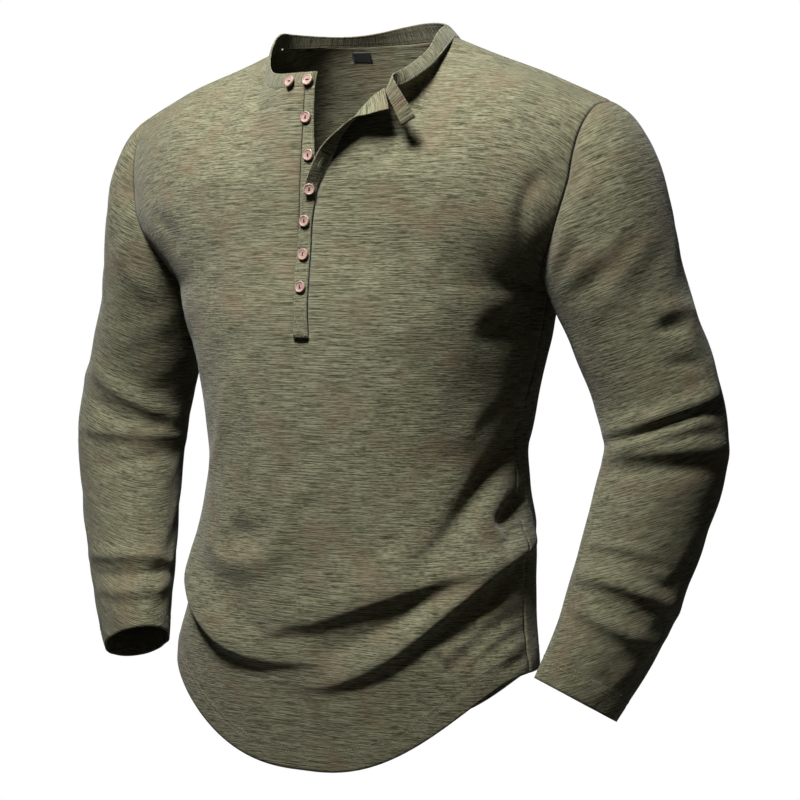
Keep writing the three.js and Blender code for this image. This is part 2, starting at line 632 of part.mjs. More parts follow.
// Point of a sleeve's section at height z of its centre line, as on the wearer's left
function armPoint(side, z, angle) {
  const column = (name) => columnAt(SLEEVE[side], name, z);
  const centre = new THREE.Vector3(column('x'), column('y'), z);
  const ahead = new THREE.Vector3(columnAt(SLEEVE[side], 'x', z - 1), columnAt(SLEEVE[side], 'y', z - 1), z - 1);
  const along = ahead.sub(centre).normalize();
  const front = new THREE.Vector3(0, -1, 0);
  front.addScaledVector(along, -front.dot(along)).normalize();
  const inside = new THREE.Vector3().crossVectors(front, along).normalize();
  if (inside.x > 0) inside.negate();
  const turn = radians(column('turn'));
  const majorWay = inside.clone().multiplyScalar(Math.cos(turn)).addScaledVector(front, Math.sin(turn));
  const minorWay = inside.clone().multiplyScalar(-Math.sin(turn)).addScaledVector(front, Math.cos(turn));
  centre.addScaledVector(majorWay, column('major') * Math.cos(angle - turn));
  centre.addScaledVector(minorWay, column('minor') * Math.sin(angle - turn));
  return centre;
}

// Way the cap leaves the armhole at an angle round it
function capWay(angle) {
  const { underarm, front, shoulder, back } = CAP_LEAVES;
  const middle = underarm.clone().add(shoulder).multiplyScalar(0.5);
  const way = middle.clone();
  way.addScaledVector(underarm.clone().sub(shoulder), Math.cos(angle) / 2);
  way.addScaledVector(front.clone().sub(back), Math.sin(angle) / 2);
  const bulge = front.clone().add(back).multiplyScalar(0.5).sub(middle);
  return way.addScaledVector(bulge, Math.sin(angle) ** 2);
}

// Point of the smooth sleeve. loop is the armhole, angle goes round the arm and w is 0 to 2 from there to the cuff.
function sleevePoint(side, loop, angle, w) {
  const mirror = (p) => new THREE.Vector3(p.x * side, p.y, p.z);
  const topZ = SLEEVE[side].at(-1).z;
  const turned = ((angle % (2 * Math.PI)) + 2 * Math.PI) % (2 * Math.PI);
  if (w >= 1) return mirror(armPoint(side, lerp(topZ, SLEEVE[side][0].z, w - 1), turned));
  let i = 0;
  while (i < loop.length - 1 && loop[i + 1].angle <= turned + 1e-9) i++;
  const next = loop[(i + 1) % loop.length];
  const nextAngle = i === loop.length - 1 ? 2 * Math.PI : next.angle;
  const from = mirror(loop[i].point.clone().lerp(next.point, (turned - loop[i].angle) / (nextAngle - loop[i].angle)));
  const to = armPoint(side, topZ, turned);
  const reach = from.distanceTo(to);
  const leave = capWay(turned).multiplyScalar(reach * (side === RIGHT ? 0.8 : 1));
  const arrive = armPoint(side, topZ - 5, turned).sub(to).setLength(reach);
  const a = leave.sub(to).add(from);
  const b = to.clone().sub(from).sub(arrive);
  const bend = a.multiplyScalar(1 - w).addScaledVector(b, w).multiplyScalar(w * (1 - w));
  return mirror(from.lerp(to, w).add(bend));
}

// Sleeve from the armhole to the cuff
function sleeveWall(side, panels) {
  const loop = armholeLoop(side, panels);
  const rings = [];
  for (let i = 0; i < CAP_RINGS; i++) rings.push(i / CAP_RINGS);
  for (let i = 0; i <= ARM_RINGS; i++) rings.push(1 + i / ARM_RINGS);
  const points = [];
  for (const w of rings) {
    for (const { angle } of loop) points.push(sleevePoint(side, loop, angle, w));
  }
  const faces = gridFaces(rings.length, loop.length, () => true, true, side === LEFT);
  const smoothNormals = sheetNormals(points, faces);
  const lines = foldLines(SLEEVE_FOLDS[side], ['angle', 'w'], (angle, w) => sleevePoint(side, loop, radians(angle), w));
  points.forEach((p, i) => {
    const w = rings[Math.floor(i / loop.length)];
    p.addScaledVector(smoothNormals[i], liftAt(p.clone(), lines) * smooth(w, 0, 0.15));
  });
  const normals = sheetNormals(points, faces);
  // The edge at the armhole never leans past the edge that it is sewn to
  loop.forEach(({ normal }, i) => {
    normals[i].x = side * Math.min(side * normals[i].x, side * normal.x);
    normals[i].normalize();
  });
  return wallGeometry(points, faces, normals, JERSEY);
}

// Strip between two edges, given as pairs of points, with a few points across.
// belly is how far its middle stands out. edgeNormals are the normals of the panel that the first edge is sewn to.
function stripWall(pairs, across, { cloth, belly = 0, flip = false, edgeNormals = [] }) {
  const points = [];
  for (const [a, b] of pairs) {
    for (let j = 0; j <= across; j++) points.push(a.clone().lerp(b, j / across));
  }
  const faces = gridFaces(pairs.length, across + 1, () => true, false, flip);
  const normals = sheetNormals(points, faces);
  points.forEach((p, i) => {
    const f = (i % (across + 1)) / across;
    p.addScaledVector(normals[i], belly * 4 * f * (1 - f));
  });
  edgeNormals.forEach((normal, i) => {
    if (normal) normals[i * (across + 1)].copy(normal);
  });
  return wallGeometry(points, faces, normals, cloth);
}

// Lower and upper edge of the neckband at a point of the neck seam; share is 0 at the centre and 1 at the shoulder
function bandPair(face, side, seam, share) {
  const middle = face === FRONT ? BAND_FRONT : BAND_BACK;
  const inward = lerp(middle.inward, BAND_SIDE[side].inward, share);
  const tilt = face === BACK ? BAND_TILT * seam.x * (1 - share) : 0;
  const rise = lerp(middle.rise, BAND_SIDE[side].rise, share) + tilt;
  const way = new THREE.Vector3(NECK_X, NECK_POINT[LEFT].y, seam.z).sub(seam).setLength(inward);
  return clearPair(seam, seam.clone().add(way).setZ(seam.z + rise));
}

// The lower edge starts just clear of the panel that it is sewn to
function clearPair(seam, top) {
  return [seam.clone().addScaledVector(top.clone().sub(seam).normalize(), SEAM_GAP + 0.05), top];
}

// Neckband from the placket round the back to the folded end. Its stations are the points of the panels' neck seams.
function neckbandWall(panels) {
  const pairs = [];
  const edgeNormals = [];
  const push = (face, side, k) => {
    const panel = panels[face];
    const middle = (panel.columns.length - 1) / 2;
    const offset = face === FRONT ? k + 1 : k;
    edgeNormals.push(panel.normals[(panel.rows.length - 1) * panel.columns.length + middle + side * offset]);
    if (face === FRONT && side === LEFT) {
      const row = OPEN_NECK[k];
      pairs.push(clearPair(vector(row), new THREE.Vector3(row.topX, row.topY, row.topZ)));
      return;
    }
    const f = k / NECK_COLUMNS;
    pairs.push(bandPair(face, side, neckPoint(face, side, f), Math.sin((f * Math.PI) / 2) ** 2));
  };
  push(FRONT, RIGHT, 0);
  const start = neckRing(FRONT, NECK_POINT[RIGHT], NECK_X, 0).setX(BAND_START_X);
  pairs.unshift(bandPair(FRONT, RIGHT, start, 0));
  edgeNormals.unshift(edgeNormals[0]);
  for (let k = 1; k < NECK_COLUMNS; k++) push(FRONT, RIGHT, k);
  for (let k = NECK_COLUMNS; k > 0; k--) push(BACK, RIGHT, k);
  for (let k = 0; k < NECK_COLUMNS; k++) push(BACK, LEFT, k);
  for (let k = NECK_COLUMNS; k > 0; k--) push(FRONT, LEFT, k);
  for (const row of BAND_END) pairs.push([vector(row), new THREE.Vector3(row.topX, row.topY, row.topZ)]);
  return stripWall(pairs, 3, { cloth: DOUBLED_JERSEY, belly: 0, flip: true, edgeNormals });
}

function underPlacketWall() {
  const pairs = [];
  const bottom = UNDER_PLACKET[0].z;
  const top = UNDER_PLACKET.at(-1).z;
  for (let i = 0; i <= UNDER_PLACKET_ROWS; i++) {
    const z = lerp(bottom, top, i / UNDER_PLACKET_ROWS);
    const y = columnAt(TORSO, 'frontY', z);
    pairs.push([
      new THREE.Vector3(SLOT_RIGHT_X + 2 * SEAM_GAP, y, z),
      new THREE.Vector3(columnAt(UNDER_PLACKET, 'freeX', z), y, z),
    ]);
  }
  return stripWall(pairs, 2, { cloth: DOUBLED_JERSEY });
}

function overPlacketWall() {
  const pairs = OVER_PLACKET.map((row) => [
    new THREE.Vector3(row.x, row.y - row.proud, row.z),
    new THREE.Vector3(row.freeX, row.freeY, row.freeZ),
  ]);
  return stripWall(pairs, 3, { cloth: DOUBLED_JERSEY, belly: 0.3, flip: true });
}

function labelWall(panel) {
  const wide = panel.columns.length;
  const at = (row, column) => (panel.rows.length - 2 + row) * wide + (wide - 1) / 2 - LABEL.column - column;
  const mix = (values, up, across) => {
    const low = values[at(0, 0)].clone().lerp(values[at(0, 1)], across);
    return low.lerp(values[at(1, 0)].clone().lerp(values[at(1, 1)], across), up);
  };
  const points = [];
  for (const up of [LABEL.fromUp, LABEL.toUp]) {
    for (const across of [LABEL.toAcross, LABEL.fromAcross]) points.push(mix(panel.points, up, across));
  }
  const faces = gridFaces(2, 2, () => true, false, true);
  const normals = sheetNormals(points, faces);
  points.forEach((p, i) => p.addScaledVector(normals[i], -(JERSEY + SEAM_GAP + 0.1)));
  return wallGeometry(points, faces, normals, LABEL_CLOTH);
}

const wasm = await Module();
wasm.setup();

// Solid of a closed geometry
function solidOf(geometry) {
  const bare = geometry.clone();
  bare.deleteAttribute('normal');
  bare.deleteAttribute('uv');
  const merged = mergeVertices(bare, 1e-4);
  return new wasm.Manifold(new wasm.Mesh({
    numProp: 3,
    vertProperties: new Float32Array(merged.attributes.position.array),
    triVerts: new Uint32Array(merged.index.array),
  }));
}

// Disc with a raised rim, a dished middle and two holes, its axis along +Z
function buttonGeometry() {
  const profile = [new THREE.Vector2(0, BUTTON_PROFILE[0].h)];
  for (const { r, h } of BUTTON_PROFILE) profile.push(new THREE.Vector2(r, h));
  profile.push(new THREE.Vector2(0, BUTTON_PROFILE.at(-1).h));
  const disc = new THREE.LatheGeometry(profile, BUTTON_SIDES).rotateX(Math.PI / 2);
  let solid = solidOf(disc);
  for (const way of [-1, 1]) {
    const hole = new THREE.CylinderGeometry(HOLE.radius, HOLE.radius, 8, HOLE.sides).rotateX(Math.PI / 2);
    solid = solid.subtract(solidOf(hole.translate(0, (way * HOLE.apart) / 2, 0)));
  }
  const { vertProperties, triVerts } = solid.getMesh();
  const geometry = new THREE.BufferGeometry();
  geometry.setAttribute('position', new THREE.BufferAttribute(vertProperties, 3));
  geometry.setIndex(new THREE.BufferAttribute(triVerts, 1));
  geometry.computeVertexNormals();
  return geometry;
}

const shirt = new THREE.Group();
shirt.name = 'henley_shirt';

function add(name, geometry, material) {
  const mesh = new THREE.Mesh(geometry, material);
  mesh.name = name;
  shirt.add(mesh);
  return mesh;
}

const panels = torsoPanels();
add('front', torsoWall(panels[FRONT]), jersey);
add('back', torsoWall(panels[BACK]), jersey);
add('sleeve_right', sleeveWall(RIGHT, panels), jersey);
add('sleeve_left', sleeveWall(LEFT, panels), jersey);
add('neckband', neckbandWall(panels), jersey);
add('placket_under', underPlacketWall(), jersey);
add('placket_over', overPlacketWall(), jersey);
add('size_label', labelWall(panels[BACK]), satin);

const button = buttonGeometry();
BUTTONS.forEach((place, i) => {
  const mesh = add(`button_${i + 1}`, button, wood);
  mesh.position.set(place.x, place.y - BUTTON_SEAT, place.z);
  // The disc's axis turns to face forwards, then by the tilt of the cloth that carries it
  mesh.rotation.order = 'ZXY';
  mesh.rotation.set(radians(90 - place.tilt), 0, radians(place.side));
  mesh.rotateZ(radians(place.turn));
});

export default shirt;
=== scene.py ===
"""Looks of the henley shirt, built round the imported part.

Blender works in metres, and the tables and forms below are in millimetres. +X is the wearer's left,
the front faces -Y and +Z is up. The shirt is filled out as worn, with nobody in it.
"""
import logging
import math
from dataclasses import dataclass, field
from enum import Enum
from typing import Callable, Iterable, Optional

import bmesh
import bpy
import numpy as np
from mathutils import Matrix, Vector


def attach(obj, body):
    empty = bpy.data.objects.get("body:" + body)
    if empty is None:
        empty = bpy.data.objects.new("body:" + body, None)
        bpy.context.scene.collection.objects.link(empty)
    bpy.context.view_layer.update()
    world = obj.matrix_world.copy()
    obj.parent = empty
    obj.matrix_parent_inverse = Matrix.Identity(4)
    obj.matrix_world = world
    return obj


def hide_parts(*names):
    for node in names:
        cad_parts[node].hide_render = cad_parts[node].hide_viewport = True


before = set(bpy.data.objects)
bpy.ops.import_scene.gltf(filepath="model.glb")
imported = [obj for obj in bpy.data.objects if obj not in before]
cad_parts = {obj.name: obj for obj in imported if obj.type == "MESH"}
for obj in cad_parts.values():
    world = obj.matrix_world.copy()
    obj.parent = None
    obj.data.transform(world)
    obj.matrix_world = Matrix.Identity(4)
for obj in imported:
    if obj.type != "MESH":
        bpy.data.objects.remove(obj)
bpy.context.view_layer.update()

Array = np.ndarray
log = logging.getLogger("henley")

MM = 0.001
# A point inside the body, in mm
MIDDLE = np.array([0.0, 22.0, -400.0])


class Face(Enum):
    """The two panels of the torso."""

    FRONT = 0
    BACK = 1


class Side(Enum):
    """The wearer's right and left."""

    RIGHT = -1
    LEFT = 1


def table(columns: str, *rows: tuple[float, ...]) -> dict[str, Array]:
    """Names the columns of a short table.

    Args:
        columns: names of the columns, split by spaces.
        rows: one tuple for each section or fold.

    Returns:
        The columns by name.
    """
    values = np.array(rows, float)
    return {name: values[:, i] for i, name in enumerate(columns.split())}


# Sections of the torso: the side seam, and the centre line of the front and of the back
TORSO = table(
    "z half_width side_y front_y back_y",
    (-725, 200, -5, -102, 98),
    (-620, 197, -3, -103, 106),
    (-568, 186, 9, -104, 120),
    (-508, 179, 22, -105, 136),
    (-428, 166, 30, -105, 146),
    (-368, 174, 33, -106, 149),
    (-328, 184, 33, -106, 149),
    (-280, 199, 26, -105, 146),
    (-256, 203, 22, -102, 143),
    (-210, 203, 22, -97, 136),
    (-150, 203, 22, -94, 124),
    (-100, 203, 22, -89, 112),
    (-62, 203, 22, -85, 101),
    (-8, 203, 22, -78, 78),
)
# Lower half of each armhole on the wearer's left, from the underarm to the chest line
ARMHOLE = {
    Face.FRONT: table(
        "x y z",
        (203, 22, -256),
        (212, -10, -240),
        (231, -30, -210),
        (243, -35, -182),
        (250, -30, -154),
    ),
    Face.BACK: table(
        "x y z",
        (203, 22, -256),
        (212, 55, -240),
        (228, 80, -210),
        (240, 87, -182),
        (246, 84, -156),
    ),
}
# Neck seam on the wearer's left, pulled open, with the top edge of the neckband above it
OPEN_NECK = table(
    "x y z top_x top_y top_z",
    (87, -88, -69, 97, -88, -54),
    (97, -84, -67, 98.5, -86, -53.5),
    (106, -74, -61, 100.5, -76, -49),
    (110.5, -55, -50.5, 102, -57, -40),
    (112, -33, -38.5, 104, -36, -27.5),
    (110, -8, -23.5, 100, -10, -9),
    (104, 18, -11, 92, 18, 1),
)
# Over placket, from the foot up: the sewn edge, how far it stands proud, and the free edge
OVER_PLACKET = table(
    "z x y proud free_x free_y free_z",
    (-304, 13, -106, 2.7, -4, -108.7, -304),
    (-275, 11, -104.5, 2.7, -4.7, -107.3, -275),
    (-245, 11, -101.5, 2.7, -5, -104.2, -245),
    (-215, 11, -97.5, 2.7, -4, -100.3, -216),
    (-193, 12, -97, 2.7, -2, -99.8, -193),
    (-175, 14.5, -96, 2.7, 1, -99.5, -175),
    (-161, 17.5, -95.5, 2.5, 5, -102, -160),
    (-148, 23.5, -95, 2, 14, -107, -146),
    (-136, 30, -94.5, 1.4, 22, -108, -131),
    (-122, 38.5, -94, 1, 33, -109, -119),
    (-107, 48, -94, 0.8, 46, -108, -109),
    (-95, 58, -93, 0.6, 64, -106, -97),
    (-83, 69, -92, 0.6, 76, -104, -95),
    (-75, 78, -91, 0.6, 87, -101, -92),
    (-69, 87, -88, 0.6, 97, -98, -90),
)
# Free edge of the under placket, from the foot up
UNDER_PLACKET = table(
    "z free_x",
    (-299.5, 10.6),
    (-200, 10.6),
    (-170, 12),
    (-145, 12),
    (-125, 10),
    (-95, 7.5),
    (-62.5, 6.5),
)
# The folded-out end of the neckband: its lower and its top edge
BAND_END = table(
    "x y z top_x top_y top_z",
    (93, -88, -69, 97.5, -89.5, -55.5),
    (91.5, -91, -70.5, 98, -92, -58),
    (92.5, -94.5, -72.5, 100.5, -95, -60.5),
    (96, -96.5, -79, 106, -96.5, -69),
    (102, -96, -91, 115, -95, -83),
    (109, -95, -105, 123, -93.5, -97),
)
# Sleeves from the cuff to the upper arm: centre line, half sizes and turn of each section. x runs outwards.
SLEEVE = {
    Side.RIGHT: table(
        "z x y major minor turn",
        (-630, 261, -15, 45, 33, 33),
        (-600, 273, -3, 48, 38, 32),
        (-548, 290, 17, 53, 45, 28),
        (-474, 307, 38, 57, 52, 20),
        (-409, 315, 52, 61, 58, 10),
        (-350, 300, 50, 60, 57, 0),
        (-290, 277, 40, 60, 58, 0),
    ),
    Side.LEFT: table(
        "z x y major minor turn",
        (-643, 254, -20, 44, 32, 33),
        (-600, 271, -3, 48, 37, 32),
        (-548, 286, 17, 53, 45, 28),
        (-474, 303, 38, 57, 52, 20),
        (-409, 314, 52, 59, 56, 10),
        (-350, 303, 50, 61, 57, 0),
        (-290, 283, 40, 62, 58, 0),
    ),
}


def lerp(a: Array | float, b: Array | float, f: Array | float) -> Array | float:
    """Value between a and b at share f."""
    return a + (b - a) * f


def smooth(x: Array, low: float, high: float) -> Array:
    """Rises smoothly from 0 at low to 1 at high."""
    f = np.clip((x - low) / (high - low), 0, 1)
    return f * f * (3 - 2 * f)


def stack(x: Array | float, y: Array | float, z: Array | float) -> Array:
    """Points from their three coordinates."""
    return np.stack(np.broadcast_arrays(x, y, z), -1).astype(float)


def unit(v: Array) -> Array:
    """Vectors at length 1."""
    return v / np.maximum(np.linalg.norm(v, axis=-1, keepdims=True), 1e-12)


def spline(knots: Array, values: Array, t: Array | float) -> Array:
    """Smooth curve through the knots.

    Args:
        knots: rising positions.
        values: one value, or one point, for each knot.
        t: positions to read.

    Returns:
        The values at t.
    """
    t = np.asarray(t, float)
    last = len(knots) - 1
    at = np.arange(last + 1)
    before, after = np.maximum(at - 1, 0), np.minimum(at + 1, last)
    wide = values.ndim - 1
    reach = (knots[after] - knots[before]).reshape(-1, *[1] * wide)
    slopes = (values[after] - values[before]) / reach
    i = np.searchsorted(knots[1:last], t, side="left")
    span = (knots[i + 1] - knots[i]).reshape(*t.shape, *[1] * wide)
    f = (t - knots[i]).reshape(*t.shape, *[1] * wide) / span
    rise = values[i + 1] - values[i]
    a = slopes[i] * span - rise
    b = rise - slopes[i + 1] * span
    return values[i] + f * rise + f * (1 - f) * (a * (1 - f) + b * f)


def points_of(rows: dict[str, Array], prefix: str = "") -> Array:
    """The x, y, z columns of a table as points."""
    return np.stack([rows[prefix + axis] for axis in "xyz"], -1)


def along(points: Array) -> Array:
    """Length of a polyline up to each of its points."""
    steps = np.linalg.norm(np.diff(points, axis=0), axis=1)
    return np.concatenate([[0.0], np.cumsum(steps)])


def read_line(at: Array, length: Array, line: Array) -> Array:
    """Points, or vectors, of a polyline at lengths along it."""
    return np.stack([np.interp(at, length, line[:, i]) for i in range(3)], -1)


@dataclass(frozen=True)
class TorsoForm:
    """The filled-out body of the shirt. s runs from the centre (0) to the side (1) of a half panel, and t is
    0 at the hem, 1 at the underarm, 2 at the chest line and 3 at the neck and shoulder seams."""

    underarm_z: float = -256
    chest_z: float = -150
    hem_side_z: float = -625
    roundness: float = 0.87
    slot_left_x: float = 11
    slot_right_x: float = -5
    slot_bottom_z: float = -300
    neck_x: float = 2
    neck_share: float = 0.34
    back_ridge: float = 9
    half_girth: float = 250

    def hem_drop(self, face: Face) -> tuple[float, float]:
        """How far the hem drops at the centre, and how pointed the drop is."""
        return (97, 2.4) if face is Face.FRONT else (82, 4)

    def start(self, face: Face, side: Side, z: Array) -> Array:
        """Where a half panel starts beside the centre.

        Args:
            face: front or back.
            side: half of the panel.
            z: heights.

        Returns:
            Points.
        """
        if face is Face.BACK:
            return stack(0.0, spline(TORSO["z"], TORSO["back_y"], z), z)
        y = spline(TORSO["z"], TORSO["front_y"], z)
        if side is Side.RIGHT:
            return stack(self.slot_right_x, y, z)
        low = z < self.slot_bottom_z
        x = np.where(low, self.slot_left_x, spline(OVER_PLACKET["z"], OVER_PLACKET["x"], z))
        return stack(x, np.where(low, y, spline(OVER_PLACKET["z"], OVER_PLACKET["y"], z)), z)

    def round_to(self, start: Array, edge: Array, s: Array, wrap: Array | float) -> Array:
        """Curve from the start point to the edge.

        Args:
            start: points beside the centre.
            edge: points at the side.
            s: share of the way round.
            wrap: angle that the whole curve turns through.

        Returns:
            Points.
        """
        angle = s * wrap
        across = (np.sin(angle) / np.sin(wrap)) ** self.roundness
        deep = (1 - np.maximum(np.cos(angle), 0) ** self.roundness) / (
            1 - np.maximum(np.cos(wrap), 0) ** self.roundness
        )
        return stack(
            lerp(start[..., 0], edge[..., 0], across),
            lerp(start[..., 1], edge[..., 1], deep),
            lerp(start[..., 2], edge[..., 2], s),
        )

    def skirt(self, face: Face, side: Side, s: Array, f: Array) -> Array:
        """Points from the hem (f 0) to the underarm (f 1)."""
        drop, power = self.hem_drop(face)
        low = self.hem_side_z - drop * np.cos(s * math.pi / 2) ** power
        z = lerp(low, self.underarm_z, f)
        width = side.value * spline(TORSO["z"], TORSO["half_width"], z)
        edge = stack(width, spline(TORSO["z"], TORSO["side_y"], z), z)
        return self.round_to(self.start(face, side, z), edge, s, math.pi / 2)

    def chest(self, face: Face, side: Side, s: Array, f: Array) -> Array:
        """Points from the underarm (f 0) to the chest line (f 1)."""
        seam = points_of(ARMHOLE[face])
        length = along(seam)
        edge = spline(length, seam, f * length[-1])
        edge[..., 0] *= side.value
        wrap = np.radians(lerp(90, 56 if face is Face.FRONT else 62, f))
        return self.round_to(self.start(face, side, lerp(self.underarm_z, self.chest_z, f)), edge, s, wrap)

    def neck_point(self, side: Side) -> Array:
        """Where the neck seam meets the shoulder seam."""
        return np.array([104.0, 18, -11] if side is Side.LEFT else [-97.0, 18, -12])

    def shoulder_tip(self, side: Side) -> Array:
        """Where the shoulder seam meets the armhole."""
        return np.array([262.0, 29, -80] if side is Side.LEFT else [-262.0, 29, -73])

    def neck_ring(self, face: Face, side: Side, angle: Array) -> Array:
        """Neck seam at an angle from the centre line."""
        depth, low = (-103, -62) if face is Face.FRONT else (60, -8)
        middle = self.neck_x if face is Face.FRONT else 0
        x, y, z = self.neck_point(side)
        across = np.sin(angle)
        return stack(lerp(middle, x, across), y + depth * np.cos(angle), lerp(low, z, np.abs(across) ** 6))

    def neck(self, face: Face, side: Side, f: Array) -> Array:
        """Neck seam from the placket or the centre back (f 0) to the shoulder (f 1)."""
        if face is Face.FRONT and side is Side.LEFT:
            knots = np.linspace(0, 1, len(OPEN_NECK["x"]))
            return spline(knots, points_of(OPEN_NECK), f)
        first = 0.0
        if face is Face.FRONT:
            first = math.asin((self.neck_x - self.slot_right_x) / (self.neck_x - self.neck_point(side)[0]))
        return self.neck_ring(face, side, lerp(first, math.pi / 2, f))

    def top(self, face: Face, side: Side, s: Array) -> Array:
        """Upper edge of a half panel: the neck seam, then the shoulder seam."""
        neck = self.neck(face, side, np.minimum(s / self.neck_share, 1))
        f = np.maximum(s - self.neck_share, 0)[..., None] / (1 - self.neck_share)
        shoulder = lerp(self.neck_point(side), self.shoulder_tip(side), f)
        return np.where((s <= self.neck_share)[..., None], neck, shoulder)

    def yoke(self, face: Face, side: Side, s: Array, f: Array) -> Array:
        """Points from the chest line (f 0) over to the neck and shoulder seams (f 1)."""
        low = self.chest(face, side, s, np.ones_like(f))
        top = self.top(face, side, s)
        rounding = lerp(0.1, 0.5, smooth(s, 0, self.neck_share)) + 0.5 * smooth(s, self.neck_share, 0.75)
        quarter = f * math.pi / 2
        up = lerp(f, np.sin(quarter), rounding)
        over = lerp(f, 1 - np.cos(quarter), rounding)
        point = stack(*(lerp(low[..., i], top[..., i], share) for i, share in enumerate((f, over, up))))
        if face is Face.BACK:
            point[..., 2] += self.back_ridge * 4 * f * f * (1 - f) * smooth(s, 0, self.neck_share)
        if face is Face.FRONT and side is Side.LEFT:
            bottom = self.start(face, side, np.full_like(f, self.chest_z))
            corner = points_of(OPEN_NECK)[0]
            z = lerp(self.chest_z, OVER_PLACKET["z"][-1], f)
            pull = np.maximum(1 - s / 0.6, 0)[..., None] ** 2
            point += (self.start(face, side, z) - lerp(bottom, corner, f[..., None])) * pull
        return point

    def point(self, face: Face, side: Side, s: Array, t: Array) -> Array:
        """Point of a half panel.

        Args:
            face: front or back.
            side: half of the panel.
            s: share from the centre to the side.
            t: 0 to 3 from the hem to the top.

        Returns:
            Points, with the last axis x, y, z.
        """
        s, t = np.broadcast_arrays(np.asarray(s, float), np.asarray(t, float))
        skirt = self.skirt(face, side, s, np.minimum(t, 1))
        chest = self.chest(face, side, s, np.clip(t - 1, 0, 1))
        yoke = self.yoke(face, side, s, np.clip(t - 2, 0, 1))
        return np.where((t <= 1)[..., None], skirt, np.where((t <= 2)[..., None], chest, yoke))


BODY = TorsoForm()


@dataclass(frozen=True)
class SleeveForm:
    """A sleeve tube. angle runs round it from the underarm seam up the front, and w is 0 at the armhole, 1 at
    the top of the arm and 2 at the cuff."""

    side: Side
    stations: int = 48

    def loop(self) -> tuple[Array, Array]:
        """Armhole seam as seen on the wearer's left.

        Returns:
            Angles round the arm, and the points at them.
        """
        t = np.linspace(1, 3, self.stations)
        ones = np.ones_like(t)
        front = BODY.point(Face.FRONT, self.side, ones, t)
        back = BODY.point(Face.BACK, self.side, ones, t)[::-1]
        angles = [math.pi * (i + along(p) / along(p)[-1]) for i, p in enumerate((front, back))]
        points = np.concatenate([front, back[1:]])
        points[:, 0] *= self.side.value
        return np.concatenate([angles[0], angles[1][1:]]), points

    def arm(self, z: Array, angle: Array) -> Array:
        """Point of the section at height z of the centre line.

        Args:
            z: heights on the centre line.
            angle: angles round the arm.

        Returns:
            Points, as on the wearer's left.
        """
        rows = SLEEVE[self.side]
        read = lambda name, at: spline(rows["z"], rows[name], at)
        centre = stack(read("x", z), read("y", z), z)
        ahead = unit(stack(read("x", z - 1), read("y", z - 1), z - 1) - centre)
        front = np.array([0.0, -1, 0])
        front = unit(front - (ahead @ front)[..., None] * ahead)
        inside = unit(np.cross(front, ahead))
        inside = np.where(inside[..., :1] > 0, -inside, inside)
        turn = np.radians(read("turn", z))
        c, s = np.cos(turn)[..., None], np.sin(turn)[..., None]
        major = (inside * c + front * s) * (read("major", z) * np.cos(angle - turn))[..., None]
        minor = (front * c - inside * s) * (read("minor", z) * np.sin(angle - turn))[..., None]
        return centre + major + minor

    def leave(self, angle: Array) -> Array:
        """Way the cap leaves the armhole."""
        underarm, front = np.array([0.25, 0.1, -0.96]), np.array([0.75, -0.35, -0.55])
        shoulder, back = np.array([0.9, 0, -0.43]), np.array([0.7, 0.45, -0.55])
        middle = (underarm + shoulder) / 2
        c, s = np.cos(angle)[..., None], np.sin(angle)[..., None]
        bulge = (front + back) / 2 - middle
        return middle + (underarm - shoulder) * c / 2 + (front - back) * s / 2 + bulge * s * s

    def point(self, angle: Array, w: Array) -> Array:
        """Point of the sleeve in the shirt's own frame.

        Args:
            angle: angles round the arm, in radians.
            w: 0 at the armhole, 1 at the top of the arm, 2 at the cuff.

        Returns:
            Points, with the last axis x, y, z.
        """
        angle, w = np.broadcast_arrays(np.asarray(angle, float), np.asarray(w, float))
        angle = angle % (2 * math.pi)
        rows = SLEEVE[self.side]
        top_z, cuff_z = rows["z"][-1], rows["z"][0]
        angles, seam = self.loop()
        start = read_line(angle, angles, seam)
        full = np.full_like(w, top_z)
        to = self.arm(full, angle)
        reach = np.linalg.norm(to - start, axis=-1, keepdims=True)
        arrive = unit(self.arm(full - 5, angle) - to) * reach
        leave = self.leave(angle) * reach * (0.8 if self.side is Side.RIGHT else 1)
        f = np.clip(w, 0, 1)[..., None]
        a = leave - to + start
        b = to - start - arrive
        cap = lerp(start, to, f) + (a * (1 - f) + b * f) * f * (1 - f)
        arm = self.arm(lerp(top_z, cuff_z, np.clip(w - 1, 0, 1)), angle)
        point = np.where((w <= 1)[..., None], cap, arm)
        return point * np.array([self.side.value, 1, 1])


def body_point(g: Array, t: Array) -> Array:
    """Point of the smooth torso at g round the body.

    Args:
        g: mm round the body, 0 at the placket, 250 at the wearer's left side, 500 at the centre back.
        t: 0 to 3 from the hem to the top.

    Returns:
        Points.
    """
    points = []
    for around, row in zip(np.where(g > 2 * BODY.half_girth, g - 4 * BODY.half_girth, g), t):
        side = Side.RIGHT if around < 0 else Side.LEFT
        way = abs(around) / BODY.half_girth
        face = Face.FRONT if way <= 1 else Face.BACK
        share = np.array([way if way <= 1 else 2 - way])
        points.append(BODY.point(face, side, share, np.array([row]))[0])
    return np.array(points)


